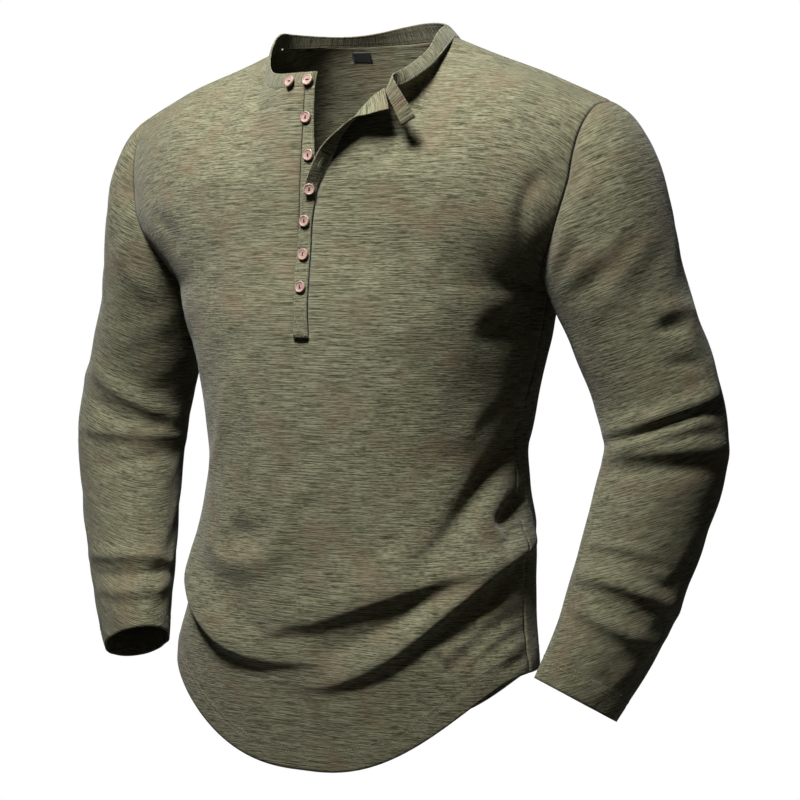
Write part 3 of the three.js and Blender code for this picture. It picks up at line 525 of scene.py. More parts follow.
@dataclass(frozen=True)
class Folds:
    """The creases of one sheet. Each is a ridge, or a trough where its height is negative, on a curve
    through three places, and it falls off over one width above the curve and another below it."""

    rows: dict[str, Array]
    axes: tuple[str, str]
    steps: int = 24

    def lift(self, points: Array, point_at: Callable[[Array, Array], Array]) -> Array:
        """How far the creases move points of the smooth form.

        Args:
            points: points of the smooth form.
            point_at: gives points of the smooth form at two coordinates.

        Returns:
            Distance along the normal for each point.
        """
        f = np.linspace(0, 1, self.steps + 1)
        shares = ((1 - f) * (1 - 2 * f), 4 * f * (1 - f), f * (2 * f - 1))
        total = np.zeros(len(points))
        for i, height in enumerate(self.rows["height"]):
            read = lambda axis: sum(share * self.rows[f"{axis}{k}"][i] for k, share in enumerate(shares))
            a, b = (read(axis) for axis in self.axes)
            line = point_at(a, b)
            above, below = self.rows["above"][i], self.rows["below"][i]
            reach = 3 * max(above, below)
            inside = (points > line.min(0) - reach) & (points < line.max(0) + reach)
            near = np.flatnonzero(inside.all(axis=1))
            start, way = line[:-1], np.diff(line, axis=0)
            from_start = points[near][:, None] - start
            share = np.clip((from_start * way).sum(-1) / (way * way).sum(-1), 0, 1)
            foot = start + way * share[..., None]
            gap = np.linalg.norm(points[near][:, None] - foot, axis=-1)
            nearest = gap.argmin(axis=1)
            pick = (np.arange(len(near)), nearest)
            width = np.where(points[near][:, 2] > foot[pick][:, 2], above, below)
            along_line = (nearest + share[pick]) / self.steps
            taper = np.maximum(np.sin(math.pi * along_line), 0) ** 0.7
            total[near] += height * taper * np.exp(-((gap[pick] / width) ** 2))
        return total


# Creases of the torso. g goes round the body in mm from the placket to the wearer's left, and t is 0 at
# the hem.
TORSO_FOLDS = Folds(
    table(
        "g0 t0 g1 t1 g2 t2 height above below",
        # The swags over the hips, which go on round the sides
        (-2, 0.175, 120, 0.245, 300, 0.335, 12, 18, 7),
        (-215, 0.3, -100, 0.225, 12, 0.235, 12, 26, 7),
        (-25, 0.267, 61, 0.346, 200, 0.29, 10, 34, 9),
        (0, 0.235, 80, 0.29, 170, 0.275, -4, 9, 9),
        (245, 0.271, 201, 0.212, 156, 0.192, -5, 8, 6),
        # The slanting drags from the wearer's left side down to the belly
        (280, 0.692, 178, 0.479, 86, 0.367, -8, 11, 16),
        (275, 0.462, 238, 0.421, 205, 0.385, -9, 9, 12),
        (250, 0.379, 227, 0.35, 204, 0.321, -4, 8, 8),
        (233, 0.733, 201, 0.679, 173, 0.637, -4, 10, 10),
        (267, 0.792, 200, 0.679, 130, 0.629, 3, 12, 12),
        (82, 0.475, 75, 0.454, 69, 0.433, -2, 6, 6),
        # The wearer's right of the belly
        (-125, 0.4, -50, 0.405, -5, 0.5, 4.5, 11, 14),
        (-8, 0.48, -1, 0.56, 2, 0.65, 3, 10, 10),
        (-76, 0.458, -53, 0.471, -33, 0.471, -4, 12, 12),
        (-70, 0.83, -89, 0.7, -152, 0.51, 2.5, 11, 11),
        (-51, 0.879, -48, 0.792, -43, 0.7, 2, 8, 8),
        (-40, 0.683, -44, 0.658, -48, 0.633, 1.5, 6, 6),
        (-15, 0.871, -20, 0.821, -26, 0.767, 1.5, 6, 6),
        # The pulls at the armholes
        (250, 0.97, 197, 0.908, 150, 0.875, -7, 16, 20),
        (225, 2.07, 200, 1.73, 233, 1.28, -4, 8, 8),
        (199, 1.24, 212, 1.1, 234, 1.04, -4, 8, 8),
        (-184, 1.78, -153, 1.62, -145, 1.4, -3, 10, 10),
        # Short creases above the hem on the wearer's left
        (252, 0.154, 169, 0.138, 120, 0.117, -3, 7, 7),
        (188, 0.158, 144, 0.183, 110, 0.196, -3, 7, 7),
        (262, 0.113, 191, 0.096, 143, 0.092, -2.5, 6, 6),
        (257, 0.062, 217, 0.037, 179, 0.042, -2.5, 6, 6),
        # The back
        (330, 0.3, 480, 0.22, 640, 0.3, 8, 24, 12),
        (300, 0.4, 430, 0.33, 560, 0.36, 6, 24, 12),
        (290, 0.6, 380, 0.48, 470, 0.42, -5, 14, 14),
        (710, 0.62, 620, 0.49, 520, 0.44, -5, 14, 14),
        (345, 0.2, 420, 0.16, 470, 0.17, -3, 8, 8),
        (690, 0.22, 620, 0.18, 560, 0.16, -3, 8, 8),
        (300, 0.95, 360, 0.86, 420, 0.84, -4, 12, 12),
        (700, 0.93, 650, 0.88, 590, 0.83, -4, 12, 12),
        (440, 0.8, 450, 0.62, 430, 0.5, 2.5, 12, 12),
        (560, 0.84, 545, 0.7, 570, 0.55, 2, 12, 12),
    ),
    ("g", "t"),
)
# Creases of the sleeves. angle is in degrees from the underarm seam up the front, and w is 1 at the top
# of the arm.
SLEEVE_FOLDS = {
    Side.RIGHT: Folds(
        table(
            "angle0 w0 angle1 w1 angle2 w2 height above below",
            (108, 0.533, 70, 0.517, 44, 0.603, 2, 10, 10),
            (125, 1.163, 59, 1.213, -10, 1.277, 5, 12, 9),
            (117, 1.247, 83, 1.28, 59, 1.34, -3, 7, 7),
            (125, 1.353, 57, 1.383, -30, 1.353, 5, 12, 9),
            (104, 1.49, 51, 1.487, -11, 1.457, -2.5, 9, 9),
            (132, 1.743, 54, 1.795, -20, 1.785, 6, 11, 7),
            (129, 1.803, 53, 1.85, -15, 1.815, -3, 5, 5),
            (120, 1.843, 53, 1.903, -22, 1.85, 5, 9, 7),
            (140, 1.2, 200, 1.26, 260, 1.28, 4, 12, 12),
            (170, 1.36, 225, 1.33, 280, 1.38, -3, 9, 9),
            (150, 1.74, 220, 1.72, 300, 1.74, 5, 12, 9),
            (160, 1.84, 230, 1.82, 300, 1.86, 3, 8, 8),
            (190, 0.6, 230, 0.7, 280, 0.72, -2.5, 10, 10),
        ),
        ("angle", "w"),
    ),
    Side.LEFT: Folds(
        table(
            "angle0 w0 angle1 w1 angle2 w2 height above below",
            (30, 1.273, 113, 1.243, 190, 1.22, 6, 11, 8),
            (62, 1.325, 116, 1.268, 170, 1.255, -3, 5, 5),
            (41, 1.377, 111, 1.297, 171, 1.287, 3.5, 7, 6),
            (25, 1.417, 111, 1.343, 195, 1.335, 5, 10, 8),
            (44, 1.467, 110, 1.397, 173, 1.37, -3, 8, 8),
            (49, 1.637, 101, 1.617, 139, 1.62, 3, 8, 6),
            (40, 1.733, 114, 1.713, 205, 1.723, 6, 11, 7),
            (118, 1.657, 134, 1.657, 154, 1.653, 2, 6, 6),
            (55, 1.8, 117, 1.82, 190, 1.8, 5, 10, 7),
            (37, 0.287, 81, 0.167, 129, 0.253, 2.5, 9, 9),
            (41, 0.317, 73, 0.337, 98, 0.35, -2, 9, 9),
            (39, 0.447, 102, 0.55, 148, 0.53, 2, 10, 10),
            (79, 0.883, 119, 0.74, 167, 0.667, 2.5, 10, 10),
            (56, 0.607, 83, 0.63, 105, 0.64, -2, 10, 10),
            (127, 1.043, 144, 1.037, 165, 1.053, -3, 7, 7),
            (130, 0.993, 152, 0.99, 188, 1.027, 3, 8, 8),
            (126, 1.127, 144, 1.13, 166, 1.147, -3, 7, 7),
            (200, 1.33, 260, 1.36, 320, 1.36, 4, 12, 12),
            (205, 1.42, 250, 1.44, 300, 1.4, -3, 9, 9),
            (200, 1.78, 270, 1.76, 340, 1.78, 4, 12, 9),
            (195, 0.7, 235, 0.62, 275, 0.66, -2.5, 10, 10),
        ),
        ("angle", "w"),
    ),
}


def ripple(uv: Array, seed: int, longest: float = 0.09, shortest: float = 0.03) -> Array:
    """Soft unevenness of limp jersey, as a seeded sum of slanting waves.

    Args:
        uv: places on the cloth, in metres.
        seed: of the waves.
        longest: wavelength in metres.
        shortest: wavelength in metres.

    Returns:
        Heights from about -1 to 1.
    """
    rng = np.random.default_rng(seed)
    total = np.zeros(uv.shape[:-1])
    count = 16
    for _ in range(count):
        turn = rng.uniform(0, math.pi)
        number = 2 * math.pi / rng.uniform(shortest, longest)
        across = uv[..., 0] * math.cos(turn) + uv[..., 1] * math.sin(turn)
        total += np.sin(number * across + rng.uniform(0, 7))
    return total / math.sqrt(2 * count)


def new_object(name: str, points: Array, faces: list, uv: Optional[Array] = None) -> bpy.types.Object:
    """Makes a smooth-shaded mesh object.

    Args:
        name: of the piece.
        points: in mm.
        faces: lists of point numbers.
        uv: one place on the cloth for each point, in metres.

    Returns:
        The object, linked to the scene.
    """
    mesh = bpy.data.meshes.new(name)
    mesh.from_pydata((points * MM).tolist(), [], faces)
    mesh.polygons.foreach_set("use_smooth", np.ones(len(mesh.polygons), bool))
    if uv is not None:
        corners = np.empty(len(mesh.loops), np.int32)
        mesh.loops.foreach_get("vertex_index", corners)
        mesh.uv_layers.new(name="cloth").data.foreach_set("uv", uv[corners].astype(np.float32).ravel())
    mesh.update()
    piece = bpy.data.objects.new(name, mesh)
    bpy.context.scene.collection.objects.link(piece)
    return piece


def cells(i: Array, j: Array, rows: int, columns: int) -> Array:
    """Quads at cells i, j of a grid of points, which goes on at its start past its last row and column.

    Args:
        i: rows of the cells.
        j: columns of the cells.
        rows: of the grid's points.
        columns: of the grid's points.

    Returns:
        Point numbers, four for each cell.
    """
    down, right = (i + 1) % rows, (j + 1) % columns
    quads = (i * columns + j, i * columns + right, down * columns + right, down * columns + j)
    return np.stack(quads, -1).reshape(-1, 4)


@dataclass
class Sheet:
    """A sheet of cloth as a grid of outer points, rows by columns."""

    points: Array
    uv: Array
    keep: Array
    inside: Array
    loop: bool = False
    normals: Array = field(init=False)
    turned: bool = field(init=False, default=False)

    def __post_init__(self) -> None:
        """Works out the normals of the smooth form."""
        self.normals = self.find_normals()

    def find_normals(self) -> Array:
        """Normals at the points, turned away from the inside."""
        p = self.points
        if self.loop:
            across = np.roll(p, -1, axis=1) - np.roll(p, 1, axis=1)
        else:
            across = np.gradient(p, axis=1)
        normals = unit(np.cross(across, np.gradient(p, axis=0)))
        self.turned = bool(((p - self.inside) * normals).sum() < 0)
        return -normals if self.turned else normals

    def move(self, distance: Array) -> None:
        """Moves the points along their normals, then finds the normals again."""
        self.points = self.points + self.normals * distance[..., None]
        self.normals = self.find_normals()

    def quads(self) -> Array:
        """Cells of the grid that are cloth, as point numbers, facing outwards."""
        quads = cells(*np.nonzero(self.keep), *self.points.shape[:2])
        return quads[:, ::-1] if self.turned else quads

    def at(self, row: Array, column: Array, out: float = 0.0) -> Array:
        """Points of the sheet between the grid's own.

        Args:
            row: row numbers, with fractions.
            column: column numbers, with fractions.
            out: distance along the normal.

        Returns:
            Points.
        """
        rows, columns = self.points.shape[:2]
        i = np.clip(np.floor(row).astype(int), 0, rows - 2)
        j = np.floor(column).astype(int)
        j = j % columns if self.loop else np.clip(j, 0, columns - 2)
        k = (j + 1) % columns
        f = (row - i)[:, None]
        g = (column - np.floor(column) if self.loop else column - j)[:, None]
        mix = lambda v: lerp(lerp(v[i, j], v[i, k], g), lerp(v[i + 1, j], v[i + 1, k], g), f)
        return mix(self.points) + out * unit(mix(self.normals))

    def shell(self, name: str, cloth: float) -> bpy.types.Object:
        """Closes the sheet to a wall.

        Args:
            name: of the piece.
            cloth: thickness in mm.

        Returns:
            The object.
        """
        outer = self.points.reshape(-1, 3)
        inner = outer - self.normals.reshape(-1, 3) * cloth
        quads = self.quads()
        count = len(outer)
        starts, ends = quads.ravel(), np.roll(quads, -1, axis=1).ravel()
        both = set(zip(starts.tolist(), ends.tolist()))
        rim = [(b, a, a + count, b + count) for a, b in both if (b, a) not in both]
        used = np.unique(quads)
        new = np.full(2 * count, -1)
        new[np.concatenate([used, used + count])] = np.arange(2 * len(used))
        faces = np.concatenate([quads, quads[:, ::-1] + count, np.array(sorted(rim))])
        points = np.concatenate([outer[used], inner[used]])
        uv = np.tile(self.uv.reshape(-1, 2)[used], (2, 1))
        return new_object(name, points, new[faces].tolist(), uv)


def run(points: Array, axis: int) -> Array:
    """Length along a grid of points from its first row or column."""
    steps = np.linalg.norm(np.diff(points, axis=axis), axis=-1)
    start = np.zeros_like(steps.take([0], axis=axis))
    return np.concatenate([start, np.cumsum(steps, axis=axis)], axis=axis)


def gap_to(points: Array, line: Array) -> Array:
    """Distance from each point of a grid to a line of points."""
    return np.linalg.norm(points[:, :, None] - line, axis=-1).min(axis=2)


@dataclass(frozen=True)
class Hem:
    """A turned-up hem: its depth, the rise of the doubled cloth, and the grooves that its stitches pull."""

    depth: float
    rise: float = 0.45
    groove: float = 0.5
    lines: tuple[float, ...] = (0.0, 5.0)

    def lift(self, gap: Array) -> Array:
        """How far the hem stands out at a distance from its edge."""
        doubled = self.rise * (1 - smooth(gap, self.depth, self.depth + 2.5))
        pulled = sum(np.exp(-(((gap - self.depth + line) / 1.3) ** 2)) for line in self.lines)
        return doubled - self.groove * pulled


@dataclass
class Torso:
    """Front and back of the shirt: the front is cut open for the placket, and both end in the curved hem."""

    cloth: float = 1.2
    half_columns: int = 66
    skirt_rows: int = 162
    chest_rows: int = 30
    yoke_rows: int = 42
    hem_rows: int = 40
    seam_gap: float = 0.15
    seam_dip: float = 0.6
    seam_width: float = 2
    unevenness: float = 0.55
    hem: Hem = Hem(depth=22)
    sheets: dict[Face, Sheet] = field(default_factory=dict)

    def rows(self) -> Array:
        """Rows of the grid, as t."""
        # Closer where the swags are
        even = np.linspace(0, 1, self.skirt_rows, endpoint=False)
        skirt = np.interp(even, (0, 0.1, 0.62, 1), (0, 0.1, 0.45, 1))
        return np.concatenate([
            skirt,
            np.linspace(1, 2, self.chest_rows, endpoint=False),
            np.linspace(2, 3, self.yoke_rows + 1),
        ])

    def smooth_grid(self, face: Face) -> tuple[Array, Array, Array]:
        """Grid of the smooth form.

        Args:
            face: front or back.

        Returns:
            Points, signed share round each half panel, and which columns lie in the slot.
        """
        t = self.rows()[:, None]
        s = np.linspace(0, 1, self.half_columns + 1)[None]
        right = BODY.point(face, Side.RIGHT, s, t)[:, ::-1]
        left = BODY.point(face, Side.LEFT, s, t)
        if face is Face.BACK:
            shares = np.concatenate([-s[0, ::-1], s[0, 1:]])
            return np.concatenate([right, left[:, 1:]], axis=1), shares, np.zeros(0)
        middle = (right[:, -1:] + left[:, :1]) / 2
        shares = np.concatenate([-s[0, ::-1], [0], s[0]])
        slot = np.array([self.half_columns, self.half_columns + 1])
        return np.concatenate([right, middle, left], axis=1), shares, slot

    def make(self, face: Face) -> Sheet:
        """Makes a panel with its creases, seams and hem.

        Args:
            face: front or back.

        Returns:
            The sheet.
        """
        points, shares, slot = self.smooth_grid(face)
        points[..., 1] += -self.seam_gap if face is Face.FRONT else self.seam_gap
        t = np.repeat(self.rows()[:, None], points.shape[1], axis=1)
        share = np.broadcast_to(shares, t.shape)
        keep = np.ones((t.shape[0] - 1, t.shape[1] - 1), bool)
        height = run(points, 0)
        level = np.where(t <= 1, points[..., 2] - BODY.underarm_z, height - height[self.skirt_rows])
        start = np.zeros_like(share)
        if face is Face.FRONT:
            above = points[1:, self.half_columns, 2] > BODY.slot_bottom_z
            keep[np.ix_(above, slot)] = False
            start = np.where(share < 0, BODY.slot_right_x, BODY.slot_left_x)
            middle = (BODY.slot_right_x + BODY.slot_left_x) / 2
            start[:, self.half_columns : self.half_columns + 3] = BODY.slot_right_x, middle, BODY.slot_left_x
        uv = np.stack([start + share * BODY.half_girth, level], -1) * MM
        sheet = Sheet(points, uv, keep, MIDDLE)
        fade = self.fade(face, share, t, points)
        lift = TORSO_FOLDS.lift(points.reshape(-1, 3), body_point).reshape(t.shape) * fade
        lift += self.unevenness * ripple(uv, 11 + face.value) * smooth(t, 0, 0.08) * fade
        from_side = np.minimum(run(points, 1), run(points[:, ::-1], 1)[:, ::-1])
        for from_seam in (from_side, height[-1] - height):
            lift -= self.seam_dip * np.exp(-((from_seam / self.seam_width) ** 2))
        lift[: self.hem_rows] += self.hem.lift(gap_to(points[: self.hem_rows], points[0]))
        sheet.move(lift)
        self.sheets[face] = sheet
        return sheet

    def fade(self, face: Face, share: Array, t: Array, points: Array) -> Array:
        """Share of the creases' height: none at the armholes, the slot and the neck."""
        armhole = smooth(np.abs(share), 0.9, 1) * smooth(t, 0.9, 1)
        slot = np.zeros_like(t)
        if face is Face.FRONT:
            beside = np.abs(share) * BODY.half_girth
            above_foot = smooth(points[..., 2], BODY.slot_bottom_z - 22, BODY.slot_bottom_z)
            slot = (1 - smooth(beside, 6, 24)) * above_foot
        return (1 - armhole) * (1 - slot) * (1 - smooth(t, 2.5, 3))

    def place(self, face: Face, share: Array, t: Array, out: float = 0.0) -> Array:
        """Points of a finished panel.

        Args:
            face: front or back.
            share: -1 at the wearer's right side seam to 1 at the left.
            t: 0 to 3 from the hem to the top.
            out: distance along the normal.

        Returns:
            Points.
        """
        share, t = np.broadcast_arrays(np.asarray(share, float), np.asarray(t, float))
        past_slot = (share > 0) & (face is Face.FRONT)
        column = (share + 1) * self.half_columns + past_slot
        return self.sheets[face].at(np.interp(t, self.rows(), np.arange(len(self.rows()))), column, out)

    def hem_line(self, face: Face, depth: float) -> Array:
        """Points of a panel at a distance from its hem."""
        smooth_points = self.smooth_grid(face)[0][: self.hem_rows]
        gaps = gap_to(smooth_points, smooth_points[0])
        columns = np.arange(gaps.shape[1])
        rows = np.array([np.interp(depth, gaps[:, j], np.arange(self.hem_rows)) for j in columns])
        return self.sheets[face].at(rows, columns.astype(float), 0.1)


@dataclass
class Sleeve:
    """A long sleeve, gathered in soft rolls above the cuff and at the elbow."""

    side: Side
    cloth: float = 1.2
    columns: int = 98
    cap_rows: int = 42
    arm_rows: int = 150
    arm_radius: float = 58
    seam_dip: float = 0.6
    seam_width: float = 2
    unevenness: float = 0.6
    wave_radius: float = 0.06
    hem: Hem = Hem(depth=24)
    sheet: Optional[Sheet] = None

    def name(self) -> str:
        """Name of the piece and its node."""
        return f"sleeve_{self.side.name.lower()}"

    def make(self) -> Sheet:
        """Makes the tube with its creases.

        Returns:
            The sheet.
        """
        form = SleeveForm(self.side)
        cap = np.linspace(0, 1, self.cap_rows, endpoint=False)
        w = np.concatenate([cap, np.linspace(1, 2, self.arm_rows + 1)])
        angle = np.linspace(0, 2 * math.pi, self.columns, endpoint=False)
        points = form.point(angle[None], w[:, None])
        height = run(points, 0)
        around = np.minimum(angle, 2 * math.pi - angle)
        level = height[self.cap_rows] - height
        uv = np.stack(np.broadcast_arrays(angle[None] * self.arm_radius, level), -1) * MM
        keep = np.ones((len(w) - 1, self.columns), bool)
        sheet = Sheet(points, uv, keep, points.mean(axis=1, keepdims=True), loop=True)
        at = lambda a, b: form.point(np.radians(a), b)
        lift = SLEEVE_FOLDS[self.side].lift(points.reshape(-1, 3), at).reshape(height.shape)
        # Places that run on across the seam where the tube closes
        x, y = self.wave_radius * np.cos(angle), self.wave_radius * np.sin(angle)
        waves = np.stack(np.broadcast_arrays(x, y + level * MM), -1)
        lift += self.unevenness * ripple(waves, 40 + self.side.value, longest=0.07)
        lift *= smooth(w, 0, 0.15)[:, None]
        lift -= self.seam_dip * np.exp(-((height / self.seam_width) ** 2))
        from_seam = around * self.arm_radius / self.seam_width
        lift -= 0.6 * self.seam_dip * np.exp(-(from_seam**2)) * smooth(w, 0.02, 0.06)[:, None]
        lift += self.hem.lift(height[-1] - height)
        sheet.move(lift)
        self.sheet = sheet
        return sheet

    def ring(self, length: float, out: float = 0.1) -> Array:
        """Closed line round the sleeve at a length above the cuff."""
        height = run(self.sheet.points, 0)
        above_cuff = (height[-1] - height)[::-1]
        rows = np.arange(len(height), dtype=float)[::-1]
        at = [np.interp(length, above_cuff[:, j], rows) for j in range(self.columns)]
        line = self.sheet.at(np.array(at), np.arange(self.columns, dtype=float), out)
        return np.concatenate([line, line[:1]])


@dataclass
class Band:
    """A doubled strip of cloth with rounded edges, between a lower and an upper line of its outer face."""

    name: str
    lower: Array
    upper: Array
    way: int
    cloth: float = 2.0
    belly: float = 0.3
    pitch: float = 2.6
    across: int = 14
    stitched: tuple[float, ...] = (2.2,)
    out: Array = field(init=False)
    rail: Array = field(init=False)

    def __post_init__(self) -> None:
        """Spaces the two lines evenly, and finds the outward normals."""
        middle = (self.lower + self.upper) / 2
        length = along(middle)
        count = max(int(length[-1] / self.pitch), 8)
        at = np.linspace(0, length[-1], count)
        self.lower, self.upper = spline(length, self.lower, at), spline(length, self.upper, at)
        ahead = np.gradient((self.lower + self.upper) / 2, axis=0)
        self.out = unit(np.cross(ahead, self.upper - self.lower)) * self.way
        self.rail = at

    def width(self) -> Array:
        """Width of the strip at each station."""
        return np.linalg.norm(self.upper - self.lower, axis=1)

    def face(self, station: Array, across: Array, out: float = 0.0) -> Array:
        """Points of the outer face.

        Args:
            station: length along the strip.
            across: 0 at the lower edge to 1 at the upper.
            out: distance in front of the face.

        Returns:
            Points.
        """
        lower, upper, normal = (read_line(station, self.rail, v) for v in (self.lower, self.upper, self.out))
        across = np.broadcast_to(np.asarray(across, float), np.shape(station))
        bulge = self.belly * 4 * across * (1 - across) + out
        return lerp(lower, upper, across[..., None]) + unit(normal) * bulge[..., None]

    def build(self) -> bpy.types.Object:
        """Makes the strip.

        Returns:
            The object.
        """
        width = self.width()[:, None]
        half = self.cloth / 2
        turn = np.linspace(0, math.pi, 5)[1:-1]
        flat = np.linspace(0, 1, self.across + 1)
        ends = half / width
        f = ends + flat[None] * (1 - 2 * ends)
        pulled = np.zeros_like(f)
        for line in self.stitched:
            pulled += sum(np.exp(-(((from_edge * width - line) / 0.9) ** 2)) for from_edge in (f, 1 - f))
        high = half * (1 - 0.3 * pulled)
        edge = half * np.cos(turn) * np.ones_like(width)
        shares = [f, 1 - ends * (1 - np.sin(turn)), f[:, ::-1], ends * (1 - np.sin(turn))]
        offsets = [high, edge, -high[:, ::-1], -edge]
        share, offset = np.concatenate(shares, axis=1), np.concatenate(offsets, axis=1)
        bulge = self.belly * 4 * share * (1 - share) + offset - half
        points = lerp(self.lower[:, None], self.upper[:, None], share[..., None])
        points = points + self.out[:, None] * bulge[..., None]
        rows, around = points.shape[:2]
        quads = cells(*np.indices((rows - 1, around)), rows, around)
        faces = quads[:, :: -self.way].tolist()
        foot, head = list(range(around)), [(rows - 1) * around + k for k in range(around)]
        faces += [foot[:: -self.way][::-1], head[:: -self.way]]
        uv = np.stack(np.broadcast_arrays(share * width, self.rail[:, None]), -1) * MM
        piece = new_object(self.name, points.reshape(-1, 3), faces, uv.reshape(-1, 2))
        check = bmesh.new()
        check.from_mesh(piece.data)
        if check.calc_volume(signed=True) < 0:
            bmesh.ops.reverse_faces(check, faces=check.faces)
            check.to_mesh(piece.data)
        check.free()
        return piece


@dataclass(frozen=True)
class Stitching:
    """A run of stitches in sewing thread."""

    step: float = 3.4
    length: float = 2.5
    thread: float = 0.34

    def bodies(self, line: Array, out: Array) -> tuple[Array, Array]:
        """Small spindles along a line.

        Args:
            line: points of the line.
            out: outward normals at them.

        Returns:
            Points and faces of all the stitches.
        """
        length = along(line)
        count = max(int(length[-1] / self.step), 1)
        middle = (np.arange(count) + 0.5) * length[-1] / count
        up = unit(read_line(middle, length, out))
        ahead = unit(read_line(middle + 0.5, length, line) - read_line(middle - 0.5, length, line))
        side = np.cross(ahead, up)
        rings = []
        for offset, girth in ((-0.5, 0.0), (-0.32, 0.8), (0.32, 0.8), (0.5, 0.0)):
            centre = read_line(middle + offset * self.length, length, line)
            if girth == 0.0:
                rings.append((centre - up * self.thread * 0.6)[:, None])
                continue
            wide, high = side * self.thread * girth, up * self.thread * girth
            rings.append(np.stack([centre + wide, centre + high, centre - wide, centre - high], 1))
        points = np.concatenate(rings, axis=1)
        faces = []
        for k in range(4):
            n = (k + 1) % 4
            faces += [(0, 1 + n, 1 + k, 1 + k), (1 + k, 1 + n, 5 + n, 5 + k), (5 + k, 5 + n, 9, 9)]
        every = np.array(faces)[None] + np.arange(count)[:, None, None] * 10
        return points.reshape(-1, 3), every.reshape(-1, 4)

    def sew(self, name: str, lines: Iterable[tuple[Array, Array]]) -> bpy.types.Object:
        """Sews several lines into one piece.

        Args:
            name: of the piece.
            lines: the points and the outward normals of each line.

        Returns:
            The object.
        """
        points, faces, count = [], [], 0
        for line, out in lines:
            p, f = self.bodies(line, out)
            points.append(p)
            faces.append(f + count)
            count += len(p)
        # A triangle is a quad that names one of its points twice
        corners = [list(dict.fromkeys(f)) for f in np.concatenate(faces).tolist()]
        return new_object(name, np.concatenate(points), corners)


